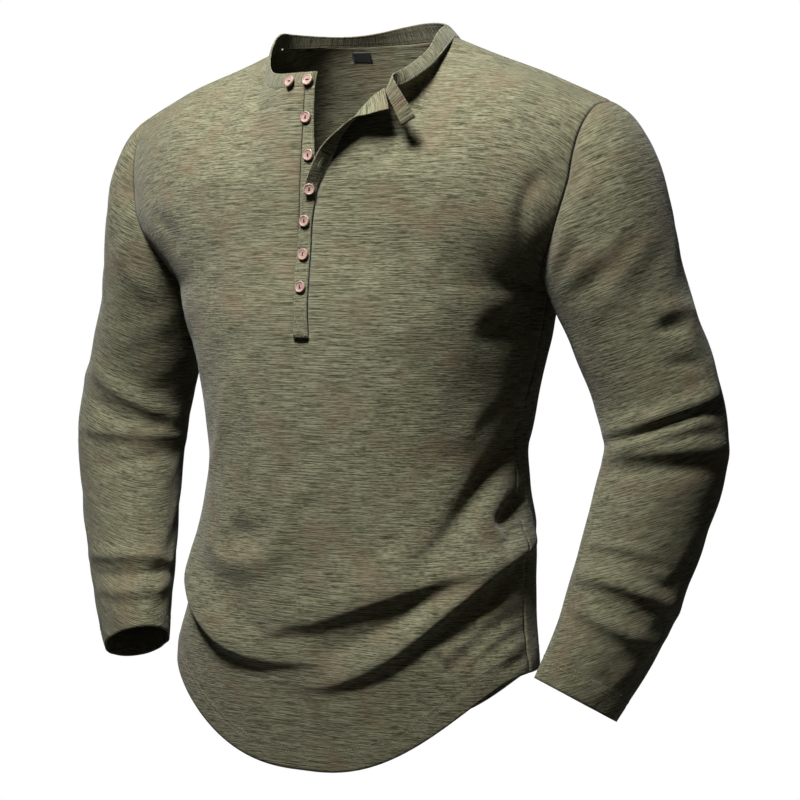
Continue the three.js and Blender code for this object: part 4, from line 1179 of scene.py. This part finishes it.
@dataclass
class Collar:
    """Neckband with its folded-out end, and the two plackets below it."""

    torso: Torso
    overlap: float = 0.5
    start_x: float = 7
    tilt: float = 0.12
    neckband: Optional[Band] = None
    under: Optional[Band] = None
    over: Optional[Band] = None

    def band_pair(self, face: Face, side: Side, f: Array) -> tuple[Array, Array]:
        """Lower and upper edge of the neckband along a quarter of the neck seam.

        Args:
            face: front or back.
            side: half of the panel.
            f: 0 at the centre to 1 at the shoulder.

        Returns:
            The two lines.
        """
        seam = BODY.neck(face, side, f)
        share = np.sin(f * math.pi / 2) ** 2
        # How far the band leans in and how far it rises, at the centre and at the shoulder
        middle = (4, 14) if face is Face.FRONT else (8, 14)
        end = (4, 15) if side is Side.RIGHT else (12, 11)
        inward = lerp(middle[0], end[0], share)
        rise = lerp(middle[1], end[1], share)
        if face is Face.BACK:
            rise = rise + self.tilt * seam[:, 0] * (1 - share)
        centre = stack(BODY.neck_x, BODY.neck_point(Side.LEFT)[1], seam[:, 2])
        upper = seam + unit(centre - seam) * inward[:, None] + stack(0.0, 0.0, rise)
        return self.off_seam(seam, upper), upper

    def off_seam(self, seam: Array, upper: Array) -> Array:
        """Lower edge, which reaches a little over the seam so that no slit shows."""
        return seam - unit(upper - seam) * self.overlap

    def make_neckband(self) -> bpy.types.Object:
        """Makes the neckband from the placket round the back to its folded end."""
        quarter = np.linspace(0, 1, 31)
        lines = [
            self.band_pair(Face.FRONT, Side.RIGHT, quarter[:-1]),
            self.band_pair(Face.BACK, Side.RIGHT, quarter[:0:-1]),
            self.band_pair(Face.BACK, Side.LEFT, quarter[:-1]),
        ]
        knots = np.linspace(0, 1, len(OPEN_NECK["x"]))
        open_f = np.linspace(1, knots[1], 26)
        sewn, top = points_of(OPEN_NECK), points_of(OPEN_NECK, "top_")
        seam, upper = spline(knots, sewn, open_f), spline(knots, top, open_f)
        lines.append((self.off_seam(seam, upper), upper))
        # The folded end goes on from the last two places of the open neck seam
        starts = zip((self.off_seam(sewn, top)[2:0:-1], top[2:0:-1]), ("", "top_"))
        ends = [np.concatenate([start, points_of(BAND_END, prefix)]) for start, prefix in starts]
        at = np.linspace(1, len(ends[0]) - 1, 31)[1:]
        lines.append(tuple(spline(np.arange(len(end)), end, at) for end in ends))
        edges = [np.concatenate([pair[i] for pair in lines]) for i in (0, 1)]
        lower, upper = (np.concatenate([stack(self.start_x, *edge[0, 1:])[None], edge]) for edge in edges)
        self.neckband = Band("neckband_cloth", lower, upper, way=-1, belly=0.4, stitched=(2.0,))
        return self.neckband.build()

    def make_under(self) -> bpy.types.Object:
        """Makes the placket that carries the buttons, on the wearer's right."""
        z = np.linspace(-299.5, -62.5, 60)
        y = spline(TORSO["z"], TORSO["front_y"], z)
        left = stack(BODY.slot_right_x + 0.6, y, z)
        right = stack(spline(UNDER_PLACKET["z"], UNDER_PLACKET["free_x"], z), y, z)
        self.under = Band("placket_under_cloth", left, right, way=-1, belly=0.4, stitched=(2.0,))
        return self.under.build()

    def make_over(self) -> bpy.types.Object:
        """Makes the placket with the buttonholes, which opens out as a lapel above the fourth button."""
        rows = OVER_PLACKET
        sewn = stack(rows["x"], rows["y"] - rows["proud"], rows["z"])
        free = stack(rows["free_x"], rows["free_y"], rows["free_z"])
        knots = np.arange(len(sewn), dtype=float)
        at = np.linspace(0, knots[-1], 160)
        lower, upper = spline(knots, sewn, at), spline(knots, free, at)
        self.over = Band("placket_over_cloth", lower, upper, way=1, belly=0.6, stitched=(2.0,))
        return self.over.build()

    def edge_lines(self, band: Band, inset: float = 2.0) -> list[tuple[Array, Array]]:
        """Lines just inside both long edges of a strip, for stitches."""
        station = np.linspace(2, band.rail[-1] - 2, int(band.rail[-1] / 2))
        width = np.interp(station, band.rail, band.width())
        return [self.on_band(band, station, share) for share in (inset / width, 1 - inset / width)]

    def on_band(self, band: Band, station: Array, across: Array, out: float = -0.12) -> tuple[Array, Array]:
        """Points on the face of a strip, with the outward normals there."""
        line = band.face(station, across, out)
        return line, unit(band.face(station, across, out + 1) - line)

    def box_stitch(self) -> list[tuple[Array, Array]]:
        """The crossed box at the foot of the over placket."""
        foot, head, near, far = 2.0, 20.0, 0.13, 0.87
        corners = ((foot, near), (foot, far), (head, far), (head, near), (foot, near), (head, far))
        paths = [*zip(corners[:-1], corners[1:]), ((foot, far), (head, near))]
        steps = np.linspace(0, 1, 9)
        lines = [lerp(np.array(a), np.array(b), steps[:, None]) for a, b in paths]
        return [self.on_band(self.over, line[:, 0], line[:, 1], 0.05) for line in lines]


@dataclass(frozen=True)
class Buttonhole:
    """A slit bound with close stitches."""

    length: float = 12.5
    width: float = 3.0
    cord: float = 0.62
    sides: int = 8
    steps: int = 40

    def build(self, name: str, band: Band, station: float, across: float) -> bpy.types.Object:
        """Makes a buttonhole along a strip.

        Args:
            name: of the piece.
            band: strip that it lies on.
            station: length along the strip.
            across: share of the way across it.

        Returns:
            The object, its slit in the second material slot: a dark sheet of painted shade where the slit
            opens.
        """
        read = lambda a, b: band.face(np.array([a]), np.array([b]))[0]
        centre = read(station, across)
        ahead = unit(read(station + 2, across) - read(station - 2, across))
        out = unit(band.face(np.array([station]), across, 1.0)[0] - centre)
        side = np.cross(out, ahead)
        angle = np.linspace(0, 2 * math.pi, self.steps, endpoint=False)
        straight = self.length / 2 - self.width / 2
        reach = self.width / 2 - self.cord
        cos, sin = np.cos(angle), np.sin(angle)
        x = cos * reach + np.sign(cos) * straight * np.minimum(np.abs(cos) * 4, 1)
        y = sin * reach
        path = centre + x[:, None] * ahead + y[:, None] * side
        away = unit(cos[:, None] * ahead * 0.6 + sin[:, None] * side)
        round_cord = np.linspace(0, 2 * math.pi, self.sides, endpoint=False)
        serrated = self.cord * (1 + 0.12 * (np.arange(self.steps) % 2))[:, None, None]
        ring = path[:, None] + serrated * (
            np.cos(round_cord)[None, :, None] * away[:, None] + 0.6 * np.sin(round_cord)[None, :, None] * out
        )
        faces = cells(*np.indices((self.steps, self.sides)), self.steps, self.sides).tolist()
        # The slit is a flat dark sheet just in front of the cloth: painted shade in the opening
        slit = centre + out * 0.08 + x[:, None] * ahead + y[:, None] * side
        count = self.steps * self.sides
        points = np.concatenate([ring.reshape(-1, 3), slit])
        piece = new_object(name, points, [*faces, [count + i for i in range(self.steps)]])
        piece.data.polygons[len(faces)].material_index = 1
        return piece


@dataclass(frozen=True)
class ButtonSet:
    """The eight two-hole wooden buttons."""

    radius: float = 5.5
    thick: float = 2.5
    hole: float = 0.82
    apart: float = 2.6
    rim: float = 1.05
    slope_width: float = 0.45
    slope_depth: float = 0.55
    dish_width: float = 1.2
    dish_depth: float = 0.25
    edge_round: float = 0.7
    lip_round: float = 0.25
    lip_radius: float = 4.8
    thread_height: float = 1.55
    thread_flatness: float = 0.55
    seat: float = 0.3
    places: dict[str, Array] = field(default_factory=lambda: table(
        "x y z turn side tilt",
        (-22.8, -82.2, -57, 90, -17, 18),
        (-0.5, -85.4, -57, 90, -2, 18),
        (-0.6, -88.5, -92.5, 0, 0, 6),
        (4.6, -92.6, -129, 8, 0, 5),
        (11, -101.6, -162, -4, 22, -2),
        (4.9, -100.2, -192, 4, 0, 2),
        (4.6, -102, -224, -6, 0, 7),
        (3.6, -105.7, -255, 6, 0, 6),
    ))

    def select(self, piece: bpy.types.Object, mode: str, test: Callable) -> None:
        """Selects the faces or edges of the piece in edit mode that pass a test."""
        bpy.ops.mesh.select_mode(type=mode)
        bpy.ops.mesh.select_all(action="DESELECT")
        work = bmesh.from_edit_mesh(piece.data)
        for item in work.faces if mode == "FACE" else work.edges:
            item.select_set(test(item))
        bmesh.update_edit_mesh(piece.data)

    def disc(self) -> bpy.types.Object:
        """Turns the disc: a raised rim with a rounded edge, and a dished middle."""
        bpy.ops.object.select_all(action="DESELECT")
        bpy.ops.mesh.primitive_cylinder_add(
            vertices=48, radius=self.radius * MM, depth=self.thick * MM, location=(0, 0, self.thick / 2 * MM)
        )
        disc = bpy.context.object
        bpy.ops.object.transform_apply(location=True, rotation=True, scale=True)
        bpy.ops.object.mode_set(mode="EDIT")
        self.select(disc, "FACE", lambda f: f.normal.z > 0.9)
        bpy.ops.mesh.inset(thickness=self.rim * MM, use_even_offset=True)
        for width, depth in ((self.slope_width, self.slope_depth), (self.dish_width, self.dish_depth)):
            bpy.ops.mesh.inset(thickness=width * MM, use_even_offset=True)
            bpy.ops.transform.translate(value=(0, 0, -depth * MM))
        rim = lambda e: all(v.co.xy.length > (self.radius - 0.05) * MM for v in e.verts) and (
            abs(e.verts[0].co.z - e.verts[1].co.z) < 1e-6
        )
        self.select(disc, "EDGE", rim)
        bpy.ops.mesh.bevel(offset=self.edge_round * MM, segments=4, affect="EDGES")
        top, inner = self.thick * MM, self.lip_radius * MM
        lip = lambda e: all(abs(v.co.z - top) < 1e-6 and v.co.xy.length < inner for v in e.verts)
        self.select(disc, "EDGE", lip)
        bpy.ops.mesh.bevel(offset=self.lip_round * MM, segments=2, affect="EDGES")
        bpy.ops.object.mode_set(mode="OBJECT")
        return disc

    def drill(self, disc: bpy.types.Object) -> None:
        """Cuts the two holes."""
        for way in (-1, 1):
            bpy.ops.object.select_all(action="DESELECT")
            bpy.ops.mesh.primitive_cylinder_add(
                vertices=20, radius=self.hole * MM, depth=8 * MM, location=(0, way * self.apart / 2 * MM, 0)
            )
            drill = bpy.context.object
            bpy.context.view_layer.objects.active = disc
            cut = disc.modifiers.new("hole", "BOOLEAN")
            cut.object, cut.operation, cut.solver = drill, "DIFFERENCE", "EXACT"
            bpy.ops.object.modifier_apply(modifier=cut.name)
            bpy.data.objects.remove(drill)

    def thread(self) -> bpy.types.Object:
        """The loops of thread through the two holes."""
        loops = []
        bpy.ops.object.select_all(action="DESELECT")
        for x in (-0.32, 0.3):
            bpy.ops.mesh.primitive_torus_add(
                location=(x * MM, 0, self.thread_height * MM), rotation=(0, math.pi / 2, 0),
                major_segments=20, minor_segments=8, major_radius=self.apart / 2 * MM, minor_radius=0.3 * MM,
            )
            bpy.ops.object.transform_apply(location=True, rotation=True, scale=True)
            loops.append(bpy.context.object)
        for loop in loops:
            loop.select_set(True)
        bpy.ops.object.join()
        thread = bpy.context.object
        middle = self.thread_height * MM
        for vertex in thread.data.vertices:
            vertex.co.z = middle + (vertex.co.z - middle) * self.thread_flatness
        return thread

    def make(self, wood: bpy.types.Material, thread_finish: bpy.types.Material) -> list[bpy.types.Object]:
        """Models one button and places eight copies.

        Args:
            wood: finish of the disc.
            thread_finish: finish of its thread.

        Returns:
            The buttons, in the order of their nodes.
        """
        disc = self.disc()
        self.drill(disc)
        disc.data.materials.clear()
        disc.data.materials.append(wood)
        disc.data.polygons.foreach_set("material_index", np.zeros(len(disc.data.polygons), np.int32))
        thread = self.thread()
        thread.data.materials.clear()
        thread.data.materials.append(thread_finish)
        bpy.ops.object.select_all(action="DESELECT")
        thread.select_set(True)
        disc.select_set(True)
        bpy.context.view_layer.objects.active = disc
        bpy.ops.object.join()
        bpy.ops.object.shade_smooth_by_angle(angle=math.radians(35))
        buttons = []
        for i, (x, y, z, turn, side, tilt) in enumerate(zip(*self.places.values())):
            mesh = disc.data.copy()
            turns = ((side, "Z"), (90 - tilt, "X"), (turn, "Z"))
            first, second, third = (Matrix.Rotation(math.radians(angle), 4, axis) for angle, axis in turns)
            mesh.transform(Matrix.Translation(Vector((x, y - self.seat, z)) * MM) @ (first @ second @ third))
            button = bpy.data.objects.new(f"wooden_button_{i + 1}", mesh)
            bpy.context.scene.collection.objects.link(button)
            buttons.append(button)
        bpy.data.objects.remove(disc)
        return buttons


def linear(code: str) -> tuple[float, float, float, float]:
    """Linear colour of an sRGB hex value."""
    parts = [int(code[i : i + 2], 16) / 255 for i in (1, 3, 5)]
    return (*(c / 12.92 if c <= 0.04045 else ((c + 0.055) / 1.055) ** 2.4 for c in parts), 1.0)


def add_node(
    tree: bpy.types.NodeTree, kind: str, values: dict, links: dict, **settings: object
) -> bpy.types.Node:
    """Adds a node.

    Args:
        tree: of the material.
        kind: of node.
        values: value for each socket.
        links: source for each socket.
        settings: of the node itself.

    Returns:
        The node.
    """
    made = tree.nodes.new(kind)
    for name, value in settings.items():
        setattr(made, name, value)
    for socket, value in values.items():
        made.inputs[socket].default_value = value
    for socket, source in links.items():
        tree.links.new(source, made.inputs[socket])
    return made


def new_material(name: str) -> tuple[bpy.types.Material, bpy.types.NodeTree]:
    """Makes an empty material and its node tree."""
    material = bpy.data.materials.new(name)
    material.use_nodes = True
    material.node_tree.nodes.clear()
    return material, material.node_tree


def noise(
    tree: bpy.types.NodeTree, place: bpy.types.NodeSocket, size: tuple[float, float, float], detail: float,
    distortion: float, **settings: object,
) -> bpy.types.NodeSocket:
    """Adds stretched noise.

    Args:
        tree: of the material.
        place: where each point lies.
        size: of a blotch along each axis, in metres.
        detail: how many finer layers it has.
        distortion: how far its blotches are pulled about.
        settings: of the noise node itself.

    Returns:
        Its value.
    """
    scale = tuple(1 / length for length in size)
    scaled = add_node(tree, "ShaderNodeMapping", {"Scale": scale}, {"Vector": place}).outputs["Vector"]
    values = {"Scale": 1.0, "Detail": detail, "Roughness": 0.6, "Distortion": distortion}
    return add_node(tree, "ShaderNodeTexNoise", values, {"Vector": scaled}, **settings).outputs["Fac"]


def spread(
    tree: bpy.types.NodeTree, value: bpy.types.NodeSocket, low: float, high: float, top: float = 1.0
) -> bpy.types.NodeSocket:
    """Spreads the values from low to high over 0 to top."""
    values = {"From Min": low, "From Max": high, "To Max": top}
    return add_node(tree, "ShaderNodeMapRange", values, {"Value": value}).outputs["Result"]


def surface(
    tree: bpy.types.NodeTree, colour: bpy.types.NodeSocket, height: bpy.types.NodeSocket,
    relief: dict, values: dict,
) -> None:
    """Ends a material with its shader.

    Args:
        tree: of the material.
        colour: of the surface.
        height: of its relief, from 0 to 1.
        relief: values of the bump.
        values: of the shader itself.
    """
    bump = add_node(tree, "ShaderNodeBump", relief, {"Height": height}).outputs["Normal"]
    shader = add_node(tree, "ShaderNodeBsdfPrincipled", values, {"Base Color": colour, "Normal": bump})
    add_node(tree, "ShaderNodeOutputMaterial", {}, {"Surface": shader.outputs["BSDF"]})


@dataclass(frozen=True)
class SlubJersey:
    """Cotton slub jersey, dyed army olive and washed. Thick places in the yarn lie along the courses and
    catch the light as pale streaks with dark shade beside them, the dye is browner in patches, and the nap
    scatters light."""

    name: str = "olive_slub_jersey"
    light: str = "#7c7a62"
    dark: str = "#353420"
    brown: str = "#66523f"
    slub_length: float = 0.024
    slub_thick: float = 0.0012
    yarn_length: float = 0.006
    yarn_thick: float = 0.0009
    yarn_share: float = 0.35
    patches_per_metre: float = 22.0

    def build(self) -> bpy.types.Material:
        """Makes the material."""
        material, tree = new_material(self.name)
        place = add_node(tree, "ShaderNodeUVMap", {}, {}, uv_map="cloth").outputs["UV"]
        slubs = noise(tree, place, (self.slub_length, self.slub_thick, 1.0), 2.5, 0.25, noise_dimensions="2D")
        yarns = noise(tree, place, (self.yarn_length, self.yarn_thick, 1.0), 1.0, 0.25, noise_dimensions="2D")
        both = add_node(tree, "ShaderNodeMix", {"Factor": self.yarn_share}, {"A": slubs, "B": yarns})
        sharp = spread(tree, both.outputs["Result"], 0.36, 0.64)
        values = {"Scale": self.patches_per_metre, "Detail": 3.0, "Roughness": 0.55}
        patch = add_node(tree, "ShaderNodeTexNoise", values, {"Vector": place}, noise_dimensions="2D")
        brown = spread(tree, patch.outputs["Fac"], 0.5, 0.72, top=0.4)
        base = add_node(
            tree, "ShaderNodeMix", {"A": linear(self.dark), "B": linear(self.light)}, {"Factor": sharp},
            data_type="RGBA",
        ).outputs[2]
        tinted = add_node(
            tree, "ShaderNodeMix", {"B": linear(self.brown)}, {"Factor": brown, "A": base}, data_type="RGBA",
        ).outputs[2]
        values = {"Roughness": 0.93, "Sheen Weight": 0.12, "Sheen Roughness": 0.5, "Specular IOR Level": 0.2}
        surface(tree, tinted, sharp, {"Strength": 0.55, "Distance": 0.0005}, values)
        return material


@dataclass(frozen=True)
class PatternedFinish:
    """A finish with one stretched noise between two colours, which also gives it its relief."""

    name: str
    light: str
    dark: str
    grain: tuple[float, float, float]
    roughness: float
    relief: float
    coat: float = 0.0
    sheen: float = 0.0

    def build(self) -> bpy.types.Material:
        """Makes the material."""
        material, tree = new_material(self.name)
        place = add_node(tree, "ShaderNodeTexCoord", {}, {}).outputs["Object"]
        sharp = spread(tree, noise(tree, place, self.grain, 3.0, 0.4), 0.35, 0.65)
        colour = add_node(
            tree, "ShaderNodeMix", {"A": linear(self.dark), "B": linear(self.light)}, {"Factor": sharp},
            data_type="RGBA",
        ).outputs[2]
        values = {"Roughness": self.roughness, "Coat Weight": self.coat, "Sheen Weight": self.sheen}
        surface(tree, colour, sharp, {"Strength": 0.4, "Distance": self.relief}, values)
        return material


@dataclass
class Finishes:
    """The shirt's materials."""

    jersey: bpy.types.Material = field(default_factory=lambda: SlubJersey().build())
    # Polyester sewing thread, matched to the cloth and a little glossier
    thread: bpy.types.Material = field(default_factory=lambda: PatternedFinish(
        "olive_sewing_thread", "#8a8872", "#4b4a38",
        grain=(0.0015, 0.0015, 0.0015), roughness=0.6, relief=0.0001, sheen=0.1,
    ).build())
    # Close-grained wood with a pinkish brown stain and a satin lacquer
    wood: bpy.types.Material = field(default_factory=lambda: PatternedFinish(
        "stained_wood", "#b3968b", "#7d5f55",
        grain=(0.0007, 0.004, 0.0007), roughness=0.42, relief=0.00008, coat=0.3,
    ).build())
    # Dark cotton that holds the buttons; it also fills the buttonhole slits as painted shade
    button_thread: bpy.types.Material = field(default_factory=lambda: PatternedFinish(
        "black_cotton_thread", "#2b2620", "#15120f",
        grain=(0.0004, 0.0004, 0.0004), roughness=0.7, relief=0.0001,
    ).build())
    # Woven black satin: smooth, with a soft gloss along the ribs
    satin: bpy.types.Material = field(default_factory=lambda: PatternedFinish(
        "black_satin", "#17171a", "#0b0b0d",
        grain=(0.004, 0.0006, 0.0006), roughness=0.38, relief=0.00005, sheen=0.2,
    ).build())


@dataclass(frozen=True)
class SizeLabel:
    """The bare satin label inside the back of the neck, by its place on the back panel."""

    shares: tuple[float, float] = (-0.0623, -0.1133)
    low_row: float = 2.867
    high_row: float = 2.95
    cloth: float = 0.5
    gap: float = 0.45
    steps: int = 9

    def build(self, torso: Torso) -> bpy.types.Object:
        """Makes the label just inside the back."""
        share = np.linspace(*self.shares, self.steps)
        inside = -torso.cloth - self.gap
        low, high = (torso.place(Face.BACK, share, row, inside) for row in (self.low_row, self.high_row))
        return Band("size_label_satin", low, high, way=-1, cloth=self.cloth, belly=0.2, stitched=()).build()


@dataclass
class Shirt:
    """The whole henley shirt."""

    finishes: Finishes
    torso: Torso = field(default_factory=Torso)
    sleeves: list[Sleeve] = field(default_factory=lambda: [Sleeve(Side.RIGHT), Sleeve(Side.LEFT)])
    # Buttonholes up the over placket from its foot, and back from the end of the neckband
    placket_holes: tuple[float, ...] = (50, 80.5, 112.5, 144, 172, 236)
    band_holes: tuple[float, ...] = (13, 32)
    hem_stitches: tuple[float, ...] = (21, 16)
    cuff_stitches: tuple[float, ...] = (24, 19)

    def dress(
        self, piece: bpy.types.Object, *materials: bpy.types.Material, slot: str = "cloth"
    ) -> bpy.types.Object:
        """Gives a piece its materials and hangs it on the shirt."""
        if materials:
            piece.data.materials.clear()
            for material in materials:
                piece.data.materials.append(material)
        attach(piece, "root")
        log.info("%s: %d faces", piece.name, len(piece.data.polygons))
        return piece

    def build_torso(self) -> None:
        """Builds the front and the back."""
        sizes = {Face.FRONT: ((0.52, 0.72), 0.345), Face.BACK: ((0.52, 0.74), 0.36)}
        for face, (flat, area) in sizes.items():
            node = face.name.lower()
            piece = self.torso.make(face).shell(f"{node}_cloth", self.torso.cloth)
            self.dress(piece, self.finishes.jersey)
            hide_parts(node)

    def build_sleeves(self) -> None:
        """Builds the sleeves."""
        for sleeve in self.sleeves:
            sleeve.make()
            piece = sleeve.sheet.shell(f"{sleeve.name()}_cloth", sleeve.cloth)
            self.dress(piece, self.finishes.jersey)
            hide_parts(sleeve.name())

    def build_collar(self) -> Collar:
        """Builds the neckband, the plackets, their buttonholes and the stitching on them."""
        collar = Collar(self.torso)
        flats = {"neckband": (0.58, 0.034), "placket_under": (0.24, 0.034), "placket_over": (0.28, 0.034)}
        makers = (collar.make_neckband, collar.make_under, collar.make_over)
        for (node, flat), make in zip(flats.items(), makers):
            piece = self.dress(make(), self.finishes.jersey)
            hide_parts(node)
        places = [(collar.over, station) for station in self.placket_holes]
        places += [(collar.neckband, collar.neckband.rail[-1] - from_end) for from_end in self.band_holes]
        for i, (strip, station) in enumerate(places):
            made = Buttonhole().build(f"buttonhole_{i + 1}", strip, station, across=0.5)
            # The dark button thread fills each slit as painted shade
            self.dress(made, self.finishes.thread, self.finishes.button_thread)
        return collar

    def build_stitching(self, collar: Collar) -> None:
        """Sews the seams and the hems."""
        stitching = Stitching()
        runs: dict[str, list[tuple[Array, Array]]] = {"stitches_plackets": [], "stitches_neckband": []}
        runs["stitches_plackets"] += collar.edge_lines(collar.under) + collar.edge_lines(collar.over)
        runs["stitches_plackets"] += collar.box_stitch()
        runs["stitches_neckband"] += collar.edge_lines(collar.neckband)
        for face in Face:
            lines = [self.torso.hem_line(face, depth) for depth in self.hem_stitches]
            runs[f"stitches_hem_{face.name.lower()}"] = [(line, self.outward(line)) for line in lines]
        for sleeve in self.sleeves:
            rings = [(sleeve.ring(depth), sleeve.ring(depth, 1.1)) for depth in self.cuff_stitches]
            lines = [(line, unit(out - line)) for line, out in rings]
            runs[f"stitches_cuff_{sleeve.side.name.lower()}"] = lines
        for name, lines in runs.items():
            self.dress(stitching.sew(name, lines), self.finishes.thread)

    def outward(self, line: Array) -> Array:
        """Directions away from the middle of the body."""
        return unit((line - MIDDLE) * np.array([0.6, 1.6, 0]))

    def build_label(self) -> None:
        """Builds the bare size label inside the back of the neck."""
        piece = self.dress(SizeLabel().build(self.torso), self.finishes.satin, slot="label")
        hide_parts("size_label")

    def build_buttons(self) -> None:
        """Builds the buttons."""
        for i, piece in enumerate(ButtonSet().make(self.finishes.wood, self.finishes.button_thread)):
            self.dress(piece, slot="button")
            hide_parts(f"button_{i + 1}")


@dataclass(frozen=True)
class Studio:
    """Camera, soft lights and a plain pale floor."""

    aim: tuple[float, float, float] = (0.039, 0.0225, -0.368)
    azimuth: float = 30.0
    elevation: float = 3.0
    distance: float = 2.2
    lens: float = 99.0
    floor_z: float = -0.9
    floor_reach: float = 9.0

    def axes(self) -> tuple[Vector, Vector, Vector]:
        """Right, up and back of the camera."""
        a, e = math.radians(self.azimuth), math.radians(self.elevation)
        back = Vector((math.sin(a) * math.cos(e), -math.cos(a) * math.cos(e), math.sin(e)))
        right = Vector((math.cos(a), math.sin(a), 0))
        return right, back.cross(right), back

    def camera(self) -> None:
        """Sets up the camera at the photograph's angle."""
        right, up, back = self.axes()
        data = bpy.data.cameras.new("camera")
        data.lens, data.sensor_width = self.lens, 36
        camera = bpy.data.objects.new("camera", data)
        place = Matrix((right, up, back)).transposed().to_4x4()
        place.translation = Vector(self.aim) + back * self.distance
        camera.matrix_world = place
        bpy.context.scene.collection.objects.link(camera)
        bpy.context.scene.camera = camera

    def light(
        self, name: str, aim: Vector, way: tuple[float, float, float],
        size: float, power: float, spread: float,
    ) -> None:
        """Adds a soft area light.

        Args:
            name: of the light.
            aim: point that it is turned to.
            way: its place from there, along the camera's right, up and back.
            size: diameter in metres.
            power: in watts.
            spread: angle of its beam, in degrees.
        """
        data = bpy.data.lights.new(name, "AREA")
        data.shape, data.size, data.energy, data.spread = "DISK", size, power, math.radians(spread)
        lamp = bpy.data.objects.new(name, data)
        lamp.location = aim + sum((axis * length for axis, length in zip(self.axes(), way)), Vector())
        lamp.rotation_euler = (lamp.location - aim).to_track_quat("Z", "Y").to_euler()
        bpy.context.scene.collection.objects.link(lamp)

    def surroundings(self) -> None:
        """Lays the floor, and gives the air behind it the floor's pale white with only a faint light."""
        # The floor shows as white as the air behind it, and sends little light back up
        square = np.array([(-1, -1, 0), (1, -1, 0), (1, 1, 0), (-1, 1, 0)]) * self.floor_reach
        floor = new_object("floor", (square + np.array([0, 0, self.floor_z])) / MM, [[0, 1, 2, 3]])
        material, tree = new_material("matt_white_floor")
        matt = add_node(tree, "ShaderNodeBsdfDiffuse", {"Color": linear("#8c8c8a")}, {})
        glow = add_node(tree, "ShaderNodeEmission", {"Color": linear("#ffffff"), "Strength": 1.0}, {})
        seen = add_node(tree, "ShaderNodeLightPath", {}, {}).outputs["Is Camera Ray"]
        links = {0: seen, 1: matt.outputs["BSDF"], 2: glow.outputs["Emission"]}
        shader = add_node(tree, "ShaderNodeMixShader", {}, links)
        add_node(tree, "ShaderNodeOutputMaterial", {}, {"Surface": shader.outputs["Shader"]})
        floor.data.materials.append(material)
        world = bpy.data.worlds.new("white_room")
        bpy.context.scene.world = world
        world.use_nodes = True
        tree = world.node_tree
        tree.nodes.clear()
        seen = add_node(tree, "ShaderNodeLightPath", {}, {}).outputs["Is Camera Ray"]
        strength = add_node(tree, "ShaderNodeMapRange", {"To Min": 0.02, "To Max": 1.0}, {"Value": seen})
        links = {"Strength": strength.outputs["Result"]}
        air = add_node(tree, "ShaderNodeBackground", {"Color": linear("#ffffff")}, links)
        add_node(tree, "ShaderNodeOutputWorld", {}, {"Surface": air.outputs["Background"]})

    def build(self) -> None:
        """Sets up the studio."""
        self.camera()
        self.surroundings()
        chest = Vector((-0.02, -0.1, 0.06))
        self.light("key_light", chest, way=(-0.5, 1.5, 1.05), size=0.7, power=8.5, spread=40)
        self.light("front_fill", Vector(self.aim), way=(0.1, 0.5, 2.6), size=1.6, power=0.8, spread=180)
        settings = bpy.context.scene.view_settings
        settings.view_transform, settings.look = "Standard", "None"


def main() -> None:
    """Builds the studio and the shirt."""
    logging.basicConfig(level=logging.INFO, format="%(message)s")
    Studio().build()
    shirt = Shirt(Finishes())
    shirt.build_torso()
    shirt.build_sleeves()
    collar = shirt.build_collar()
    shirt.build_label()
    shirt.build_buttons()
    shirt.build_stitching(collar)


if __name__ == "__main__":
    main()
